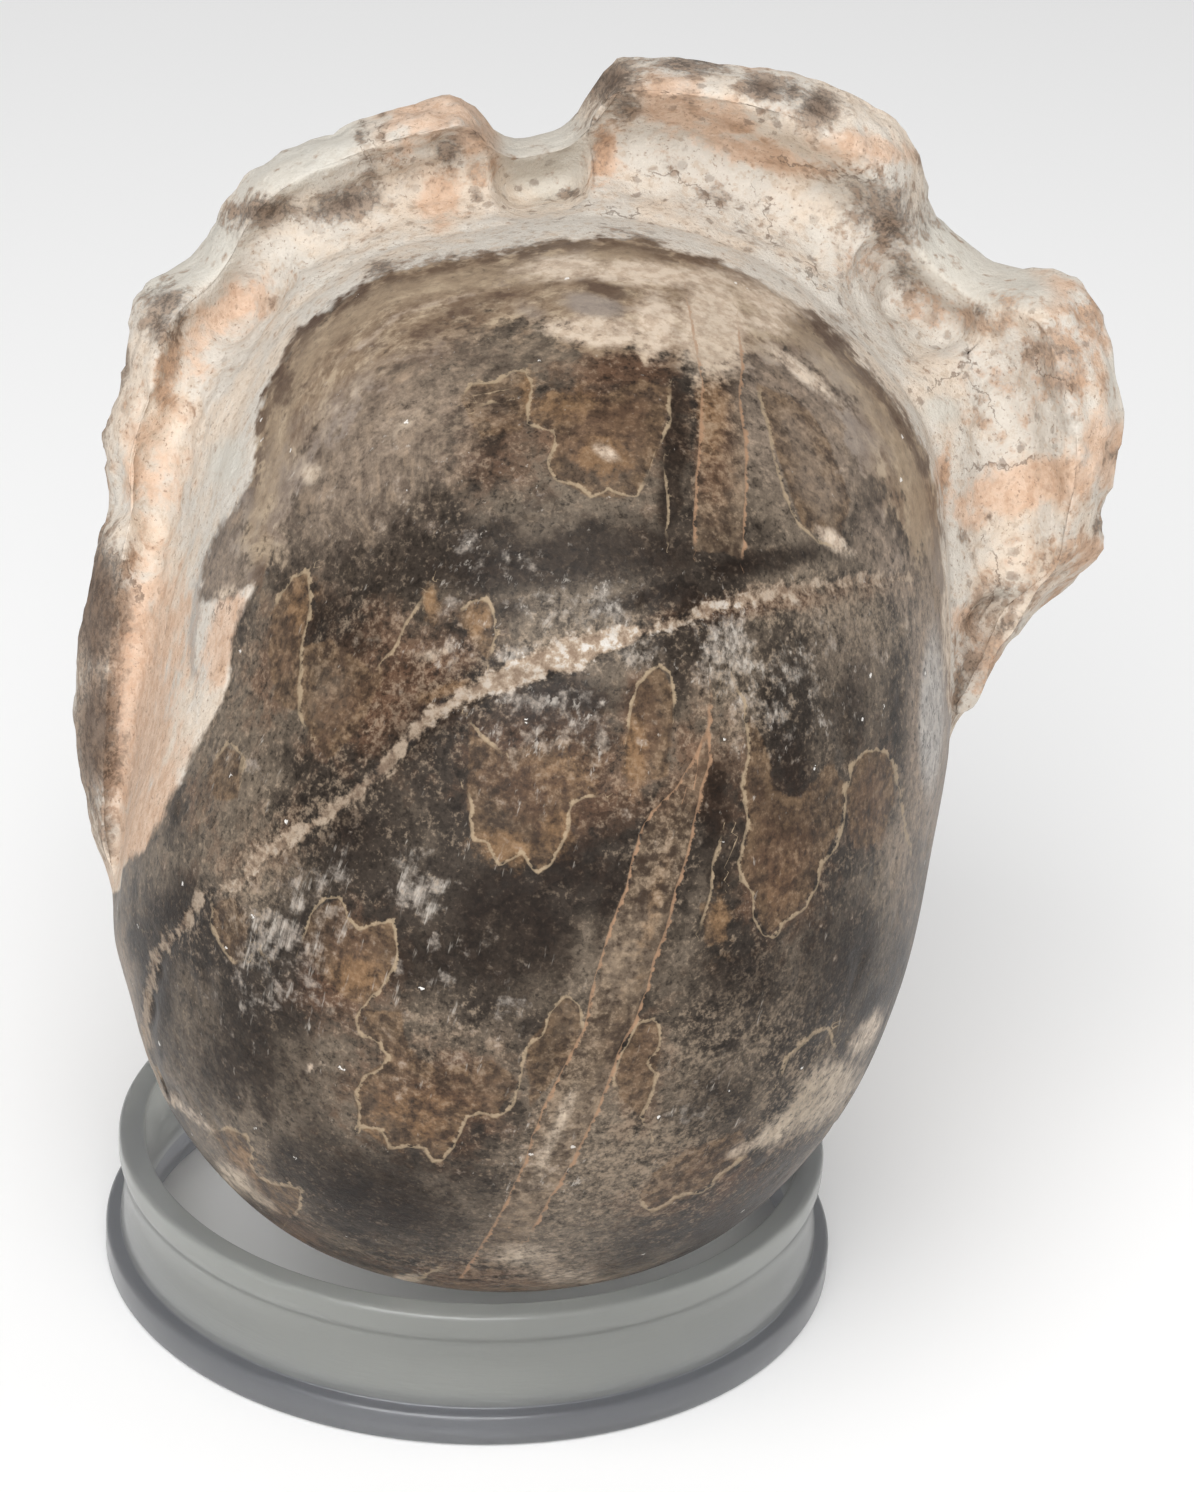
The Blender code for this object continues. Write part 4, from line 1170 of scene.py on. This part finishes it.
def shell_colours(wires, bands, light_band):
    """The smooth shell under the bulb's upper rim: tan, with streaks along the whorl, brown clouds,
    painted shade in the crease at its border, and a grey bloom."""
    inward = wires.field("dark_whorls")
    band = wires.without(wires.step(inward, 8.0, 15.0), wires.step(inward, 27.0, 39.0))
    # Painted shade: darker brown in the crease along the dark whorls' border, where the shell meets the
    # hood
    crease = wires.without(wires.step(wires.coarse, 0.44, 0.56), wires.step(inward, 4.0, 22.0))
    return wires.layers(
        wires.mix(light_band, colour(132, 113, 93), colour(166, 148, 125)),
        (wires.step(bands, 0.50, 0.36), 0.7, colour(98, 78, 62)),
        (wires.step(wires.mid, 0.48, 0.36), 0.45, colour(96, 76, 61)),
        (band, 0.42, colour(160, 142, 119)),
        # The painted shade in the crease
        (crease, 0.8, colour(80, 62, 49)),
        (wires.patch("lilac_and_sheen", 0.5, 0.6, 0.3, 0.3), 0.7, colour(137, 128, 121)),
        (wires.patch("deep", 0.5, 1.2, 1.4, 0.25), 0.8, colour(76, 58, 47)))


def calcite_clouds(wires, deep):
    """Grey-brown calcite with warm, near-black and violet-grey clouds, and a painted sheen: pale
    grey standing in for reflected light, mostly at the bulb's right edge.
    """
    return wires.layers(
        wires.mix(wires.step(wires.cloud, 0.5, 1.6), colour(50, 43, 37), colour(98, 87, 75)),
        (wires.patch("brown", 0.5, 1.3, 0.9, 0.35), 0.72, colour(90, 66, 50)),
        (deep, 0.86, colour(30, 22, 17)),
        (wires.patch("lilac_and_sheen", 0.5, 0.5, 0.3, 0.4), 0.68, colour(141, 125, 110)),
        # Painted sheen: pale grey laid on as reflected light where the patches are strongest
        (wires.step(wires.field("lilac_and_sheen"), 0.95, 1.35), 0.6, colour(172, 169, 165)))


def chambers(wires, shade, amber):
    """Amber calcite in the chambers, weaker at their middles, with ochre clouds and a pale bloom
    of crystals."""
    middle = wires.patch("amber", 12.0, 50.0, 30.0, 12.0)
    tone = wires.mottled(0.38, 0.62, colour(66, 52, 41), colour(104, 84, 64))
    return wires.layers(
        shade,
        (wires.without(amber, middle, 0.55), 0.8, tone),
        (wires.patch("ochre", 0.5, 1.0, 1.2, 0.3), 0.5, colour(130, 101, 72)),
        (wires.patch("crystal", 0.98, 2.4, 2.6, 0.4), 0.42, colour(159, 151, 142)))


def whorl_streaks(wires, shade, shell):
    """Light and dark streaks along the whorl, and the shell over the bulb's upper rim."""
    streaked = wires.field("streaked")
    bands = wires.noise(wires.attribute("whorl_place")["Vector"], 760.0, 4.0, 0.68)
    light_band = wires.step(bands, 0.48, 0.66)
    dark_band = wires.step(bands, 0.52, 0.38)
    return wires.layers(
        shade,
        (wires.times(light_band, streaked), 0.7, colour(150, 130, 110)),
        (wires.times(dark_band, streaked), 0.5, colour(68, 53, 45)),
        (shell, 0.92, shell_colours(wires, bands, light_band)))


def cream_patches(wires, shade):
    """Cream patches, greyer where the bulb is dusty."""
    tone = wires.mottled(0.4, 0.6, colour(182, 163, 144), colour(200, 184, 166))
    tone = wires.over(tone, wires.field("dusty"), 0.85, colour(146, 134, 117))
    return wires.over(shade, wires.patch("pale", 0.5, 0.5, 0.3, 0.22), 0.84, tone)


def bare_calcite(wires, shell, amber):
    """How bare the calcite's grain is: less under the shell, in streaks and in amber."""
    smooth = wires.maths("MAXIMUM", wires.field("streaked"), wires.times(amber, 0.5))
    hidden = wires.maths("MAXIMUM", wires.times(shell, 0.8), wires.times(smooth, 0.85))
    return wires.maths("SUBTRACT", 1.0, hidden)


def grained(wires, shade, bare, deep, facet_light):
    """The calcite's grain where it is bare: facets and noise that light and darken it, beige grains
    and dark gaps."""
    blend = wires.blend(0.5, wires.fine, wires.mid)
    lift = wires.moved(wires.moved(0.0, facet_light, 0.5), blend, 2.4)
    dust = wires.maths("MULTIPLY_ADD", wires.field("dusty"), 0.10, blend)
    grains = wires.without(wires.times(wires.step(dust, 0.53, 0.70), bare), deep, 0.75)
    gaps = wires.times(wires.step(blend, 0.46, 0.34), bare)
    return wires.layers(
        wires.lit_by(shade, wires.maths("MULTIPLY_ADD", lift, bare, 1.0)),
        (grains, 0.46, colour(156, 138, 118)),
        (gaps, 0.62, colour(30, 24, 20)))


def crystals(wires, shade, painted_glint):
    """Hairs of crystal with the shadows between them, and the glinting facets as painted highlights."""
    hairs = wires.group(wires.groups["hairs"], Vector=wires.place, Scale=1700.0,
                        Amount=wires.field("crystal"))
    return wires.layers(
        shade,
        (hairs["Shadow"], 0.55, colour(34, 28, 24)),
        (wires.times(hairs["Mask"], wires.step(wires.coarse, 0.42, 0.6)), 0.5, colour(184, 176, 166)),
        # Painted highlights: near-white glints on a few facets
        (painted_glint, 0.8, colour(226, 222, 216)))


def bulb_colours(wires):
    """The polished inner whorls, from the clouds deep in the calcite up to its crystals."""
    deep = wires.patch("deep", 0.45, 1.3, 0.9, 0.3)
    amber = wires.patch("amber", 0.0, 10.0, 6.0, 2.0)
    shell = wires.patch("shell", 0.0, 90.0, 40.0, 9.0)
    facets = wires.group(wires.groups["facets"], Vector=wires.place, Scale=1300.0,
                         Fine_Noise=wires.fine)
    shade = chambers(wires, calcite_clouds(wires, deep), amber)
    shade = cream_patches(wires, whorl_streaks(wires, shade, shell))
    shade = grained(wires, shade, bare_calcite(wires, shell, amber), deep, facets["Light"])
    return crystals(wires, shade, facets["Painted Glint"])


def drawn_on_bulb(wires, bulb):
    """The siphuncle's fill and edges, the suture lines and the calcite vein, over the bulb."""
    crystal = wires.field("crystal")
    strength = wires.span(wires.step(wires.mid, 0.4, 0.62), 0.45, 0.85)
    fill = wires.without(wires.patch("siphuncle_fill", 0.0, 20.0, 12.0, 2.0), wires.field("pale"))
    fill_tone = wires.mottled(0.38, 0.62, colour(84, 66, 52), colour(142, 120, 97))
    vein_tone = wires.layers(
        wires.mottled(0.36, 0.6, colour(126, 106, 89), colour(168, 150, 130)),
        (wires.step(wires.fine, 0.44, 0.32), 0.4, colour(96, 78, 62)),
        (wires.times(crystal, wires.step(wires.mid, 0.5, 0.64)), 0.6, colour(206, 205, 202)))
    return wires.layers(
        bulb,
        (fill, 0.3, fill_tone),
        (wires.line("suture", 1.35, 10.0, 8.0), strength, colour(152, 134, 110)),
        (wires.line("siphuncle", 1.2, 6.0, 8.0), strength, colour(149, 118, 93)),
        (wires.patch("vein", 0.0, 22.0, 24.0, 3.0), wires.span(crystal, 0.62, 0.95), vein_tone))


def sediment(wires):
    """The hood's ground: beige and grey clouds with light and tan grain."""
    return wires.layers(
        wires.mix(wires.step(wires.cloud, 0.6, 1.5), colour(196, 189, 179), colour(205, 191, 175)),
        (wires.step(wires.mid, 0.52, 0.66), 0.5, colour(212, 205, 195)),
        (wires.step(wires.mid, 0.46, 0.34), 0.5, colour(174, 154, 134)))


def hood_colours(wires):
    """The last whorl: pale sediment with peach clouds, smooth grey valleys, rust and dark stains, with
    painted shade down the left rim, dark specks and hairline cracks."""
    mid, fine = wires.mid, wires.fine
    peach_tone = wires.mottled(0.4, 0.6, colour(188, 154, 128), colour(204, 174, 150))
    valley = wires.patch("valley", 0.42, 0.5, 0.2, 0.22)
    valley_tone = wires.mix(mid, colour(188, 184, 174), colour(200, 196, 187))
    grit = wires.step(wires.blend(0.6, fine, mid), 0.42, 0.58)
    rust_tone = wires.mix(grit, colour(118, 90, 68), colour(172, 136, 107))
    stain_tone = wires.mix(grit, colour(66, 57, 51), colour(142, 124, 108))
    core_tone = wires.mix(mid, colour(58, 45, 38), colour(106, 84, 68))
    specks = wires.group(wires.groups["specks"], Vector=wires.place, Scale=820.0, Size=0.3,
                         Share=0.3, Fine_Noise=mid)["Mask"]
    return wires.layers(
        sediment(wires),
        (wires.patch("peach", 0.48, 1.4, 0.8, 0.25), 0.78, peach_tone),
        (valley, 0.8, valley_tone),
        (wires.patch("rust", 0.55, 1.7, 1.7, 0.35), 0.68, rust_tone),
        (wires.patch("stain_and_shade", 0.55, 1.5, 2.2, 0.35), 0.84, stain_tone),
        # Darkest where the patches are strongest: stain cores, and painted shade down the left rim
        (wires.step(wires.field("stain_and_shade"), 0.8, 1.35), 0.6, core_tone),
        (wires.without(wires.step(fine, 0.41, 0.29), valley, 0.8), 0.6, colour(128, 108, 92)),
        (wires.times(specks, wires.field("speckled")), 0.66, colour(112, 97, 86)),
        (wires.line("hairline", 1.3, 40.0, 26.0), 0.6, colour(96, 80, 68)),
        (wires.line("wall_line", 4.0, 12.0, 8.0), 0.6, colour(146, 140, 134)))


def stone_material(groups):
    """The whole stone: the bulb's and the hood's colours on either side of the dark whorls' ragged
    border. The bulb is polished and the hood is matt and grainy."""
    made, shader, _ = new_material("fossil_stone", IOR=1.5, Specular_IOR_Level=0.11)
    wires = StoneWires(made.node_tree, groups)
    bulb = drawn_on_bulb(wires, bulb_colours(wires))
    dark = wires.patch("dark_whorls", 0.0, 22.0, 8.0, 3.5)
    wires.put(shader, "Base Color", wires.mix(dark, hood_colours(wires), bulb))

    matt = wires.span(wires.mid, 0.6, 0.8)
    polished = wires.span(wires.mid, 0.26, 0.5)
    wires.put(shader, "Roughness", wires.blend(dark, matt, polished))

    on_bulb = wires.step(wires.field("dark_whorls"), -3.0, 3.0)
    crumbled = wires.step(wires.field("vein"), -6.0, 3.0)
    bite = wires.blend(on_bulb, 1.0, wires.span(crumbled, 0.22, 1.0))
    grain = wires.times(wires.noise(wires.place, 1600.0, 4.0, 0.72), bite)
    bump = wires.node("ShaderNodeBump", Height=grain, Strength=0.55, Distance=0.4 * MM)
    wires.put(shader, "Normal", bump.outputs[0])
    return made


def add_object(name, data):
    """A new object in the scene for a mesh, a lamp or a camera."""
    made = bpy.data.objects.new(name, data)
    bpy.context.scene.collection.objects.link(made)
    return made


def make_stone(groups):
    points, angles, world = stone_surface()
    first = to_world(np.array([0.0, 0.0, BULB_FRONT - FRONT_INSET]))
    last = to_world(np.array([0.0, 0.0, BACK_INSET - BACK_DEPTH]))
    mesh = closed_grid("ammonite_stone", world, first, last)
    for name, values in stone_fields(points, angles, world).items():
        keep_field(mesh, name, values)
    keep_field(mesh, "whorl_place", whorl_places(angles, world))
    mesh.materials.append(stone_material(groups))
    stone = add_object("ammonite_stone", mesh)
    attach(stone, "root")
    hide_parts("ammonite")


# The ring's bore, lip, waist and wall, as radii, and their heights
RING_BORE = 29.1
LIP_RADIUS = 31.4
LIP_DEPTH = 2.0
NECK_RADIUS = 30.9
NECK_BELOW_TOP = 3.0
WAIST_RADIUS = 30.6
WAIST_BELOW_TOP = 5.0
WALL_RADIUS = 31.2
WALL_END = 3.9
FOOT_HEIGHT = 2.9
# How finely the ring is divided round its axis and round each corner
RING_STEPS = 256
ARC_STEPS = 5


def ring_corners():
    """The ring's section from the top of its bore over its lip, down its outer side and back along
    its foot: (radius, height, rounding)."""
    top = RING_HEIGHT
    return (
        (RING_BORE, top, 0.35),
        (LIP_RADIUS, top, 0.6),
        (LIP_RADIUS, top - LIP_DEPTH, 0.5),
        (NECK_RADIUS, top - NECK_BELOW_TOP, 0.6),
        (WAIST_RADIUS, top - WAIST_BELOW_TOP, 2.0),
        (WALL_RADIUS, WALL_END, 0.8),
        (WALL_RADIUS, FOOT_HEIGHT, 0.15),
        (RING_RADIUS, FOOT_HEIGHT, 0.5),
        (RING_RADIUS, 0.0, 0.5),
        (RING_BORE, 0.0, 0.4),
    )


def rounded(corners):
    """A closed outline with its corners rounded: each is replaced by a quadratic curve that starts
    and ends at the corner's rounding before and after it, and at less than half of each side."""
    outline = np.array(corners, float)
    corner, rounding = outline[:, :2], outline[:, 2]
    t = np.linspace(0, 1, ARC_STEPS)[None, :, None]
    curve = corner[:, None] + 0 * t
    for turn, weight in ((1, (1 - t) ** 2), (-1, t**2)):
        side = np.roll(corner, turn, axis=0) - corner
        length = np.linalg.norm(side, axis=1)
        reach = np.minimum(rounding, 0.45 * length) / length
        curve = curve + (side * reach[:, None])[:, None] * weight
    return curve.reshape(-1, 2)


def turned_ring(name, outline):
    """A closed outline turned round the ring's axis, as a mesh with no ends."""
    turn = np.linspace(0, 2 * np.pi, RING_STEPS, endpoint=False)
    radius, height = outline[:, :1], outline[:, 1:]
    grid = np.stack(np.broadcast_arrays(radius * np.cos(turn), radius * np.sin(turn), height), axis=-1)
    rows, columns = grid.shape[:2]
    here = np.arange(rows * columns).reshape(rows, columns)
    beside = np.roll(here, -1, axis=1)
    below, beside_below = np.roll(here, -1, axis=0), np.roll(beside, -1, axis=0)
    quads = np.stack([here, below, beside_below, beside], axis=-1).reshape(-1, 4)
    made = bpy.data.meshes.new(name)
    made.from_pydata((grid.reshape(-1, 3) * MM + RING_CENTRE).tolist(), [], quads.tolist())
    made.shade_smooth()
    return made


def plastic_material():
    """Clear moulded plastic, hazy and green-grey, with a blue-grey foot and faint scuffs."""
    made, shader, wires = new_material("clear_plastic", Transmission_Weight=0.9, IOR=1.49,
                                       Coat_Weight=0.5, Coat_Roughness=0.12)
    place = wires.node("ShaderNodeTexCoord").outputs["Object"]
    height = wires.node("ShaderNodeSeparateXYZ", Vector=place).outputs[2]
    above_foot = wires.step(height, FOOT_HEIGHT * MM, (FOOT_HEIGHT + 0.3) * MM)
    wires.put(shader, "Base Color", wires.mix(above_foot, colour(168, 170, 176), colour(217, 219, 214)))
    haze = wires.noise(place, 260.0, 3.0)
    wires.put(shader, "Roughness", wires.span(haze, 0.32, 0.46))
    scuff = wires.noise(wires.turned(place, (0.0, 0.0, 20.0), (1.0, 1.0, 8.0)), 500.0, 3.0)
    bump = wires.node("ShaderNodeBump", Height=scuff, Strength=0.15, Distance=0.2 * MM)
    wires.put(shader, "Normal", bump.outputs[0])
    return made


def make_ring():
    mesh = turned_ring("clear_ring", rounded(ring_corners()))
    mesh.materials.append(plastic_material())
    ring = add_object("clear_ring", mesh)
    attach(ring, "root")
    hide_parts("display_ring")


# The floor, in metres: half its side, and how far it lies under the ring's foot
FLOOR_HALF = 4.0
FLOOR_GAP = 0.0001
# The soft boxes, in metres and watts: (name, place, target, side, power)
LIGHTS = (
    ("key", (-0.08, -0.7, 0.75), (0.0, 0.0, 0.05), 0.8, 9.5),
    ("fill", (-0.2, -0.95, 0.3), (0.0, 0.0, 0.05), 0.9, 4.0),
    ("right_panel", (0.7, 0.1, 0.3), (0.0, 0.0, 0.06), 0.5, 0.7),
)
SKY_STRENGTH = 0.5
NEAREST_SEEN = 0.01


def make_floor():
    """A plain pale floor, wide enough to fill the view."""
    mesh = bpy.data.meshes.new("floor")
    signs = ((-1, -1), (1, -1), (1, 1), (-1, 1))
    corners = [(x * FLOOR_HALF, y * FLOOR_HALF, -FLOOR_GAP) for x, y in signs]
    mesh.from_pydata(corners, [], [(0, 1, 2, 3)])
    mesh.materials.append(new_material("pale_floor", Base_Color=(0.93, 0.93, 0.93, 1.0), Roughness=0.9)[0])
    add_object("floor", mesh)


def make_light():
    """A bright even sky, and square soft boxes: a large one above the front, a low one in front as
    a fill, and a weak one at the right."""
    world = bpy.data.worlds.new("studio")
    world.use_nodes = True
    sky = world.node_tree.nodes["Background"]
    sky.inputs["Color"].default_value = (1.0, 1.0, 1.0, 1.0)
    sky.inputs["Strength"].default_value = SKY_STRENGTH
    bpy.context.scene.world = world
    for name, place, target, side, power in LIGHTS:
        lamp = bpy.data.lights.new(name, "AREA")
        lamp.size = side
        lamp.energy = power
        box = add_object(name, lamp)
        box.location = place
        box.rotation_euler = (Vector(place) - Vector(target)).to_track_quat("Z", "Y").to_euler()


def make_camera():
    """The camera at the photograph's angle, with the lens that its perspective asks for."""
    right, up, ahead = camera_axes()
    lens = bpy.data.cameras.new("camera")
    lens.sensor_fit = "VERTICAL"
    lens.sensor_height = SENSOR_HEIGHT
    lens.lens = FOCAL_PIXELS / PICTURE_HEIGHT * SENSOR_HEIGHT
    lens.clip_start = NEAREST_SEEN
    eye = add_object("camera", lens)
    place = RING_CENTRE + np.array(CAMERA_PLACE) * MM
    columns = np.column_stack([right, up, -ahead, place])
    eye.matrix_world = Matrix(np.vstack([columns, [0, 0, 0, 1]]).tolist())
    bpy.context.scene.camera = eye


def main():
    groups = {"ragged": ragged_patch_group(), "line": drawn_line_group(), "facets": facets_group(),
              "specks": specks_group(), "hairs": hairs_group()}
    make_camera()
    make_light()
    make_floor()
    make_stone(groups)
    make_ring()
    bpy.context.scene.view_settings.view_transform = "Standard"


main()
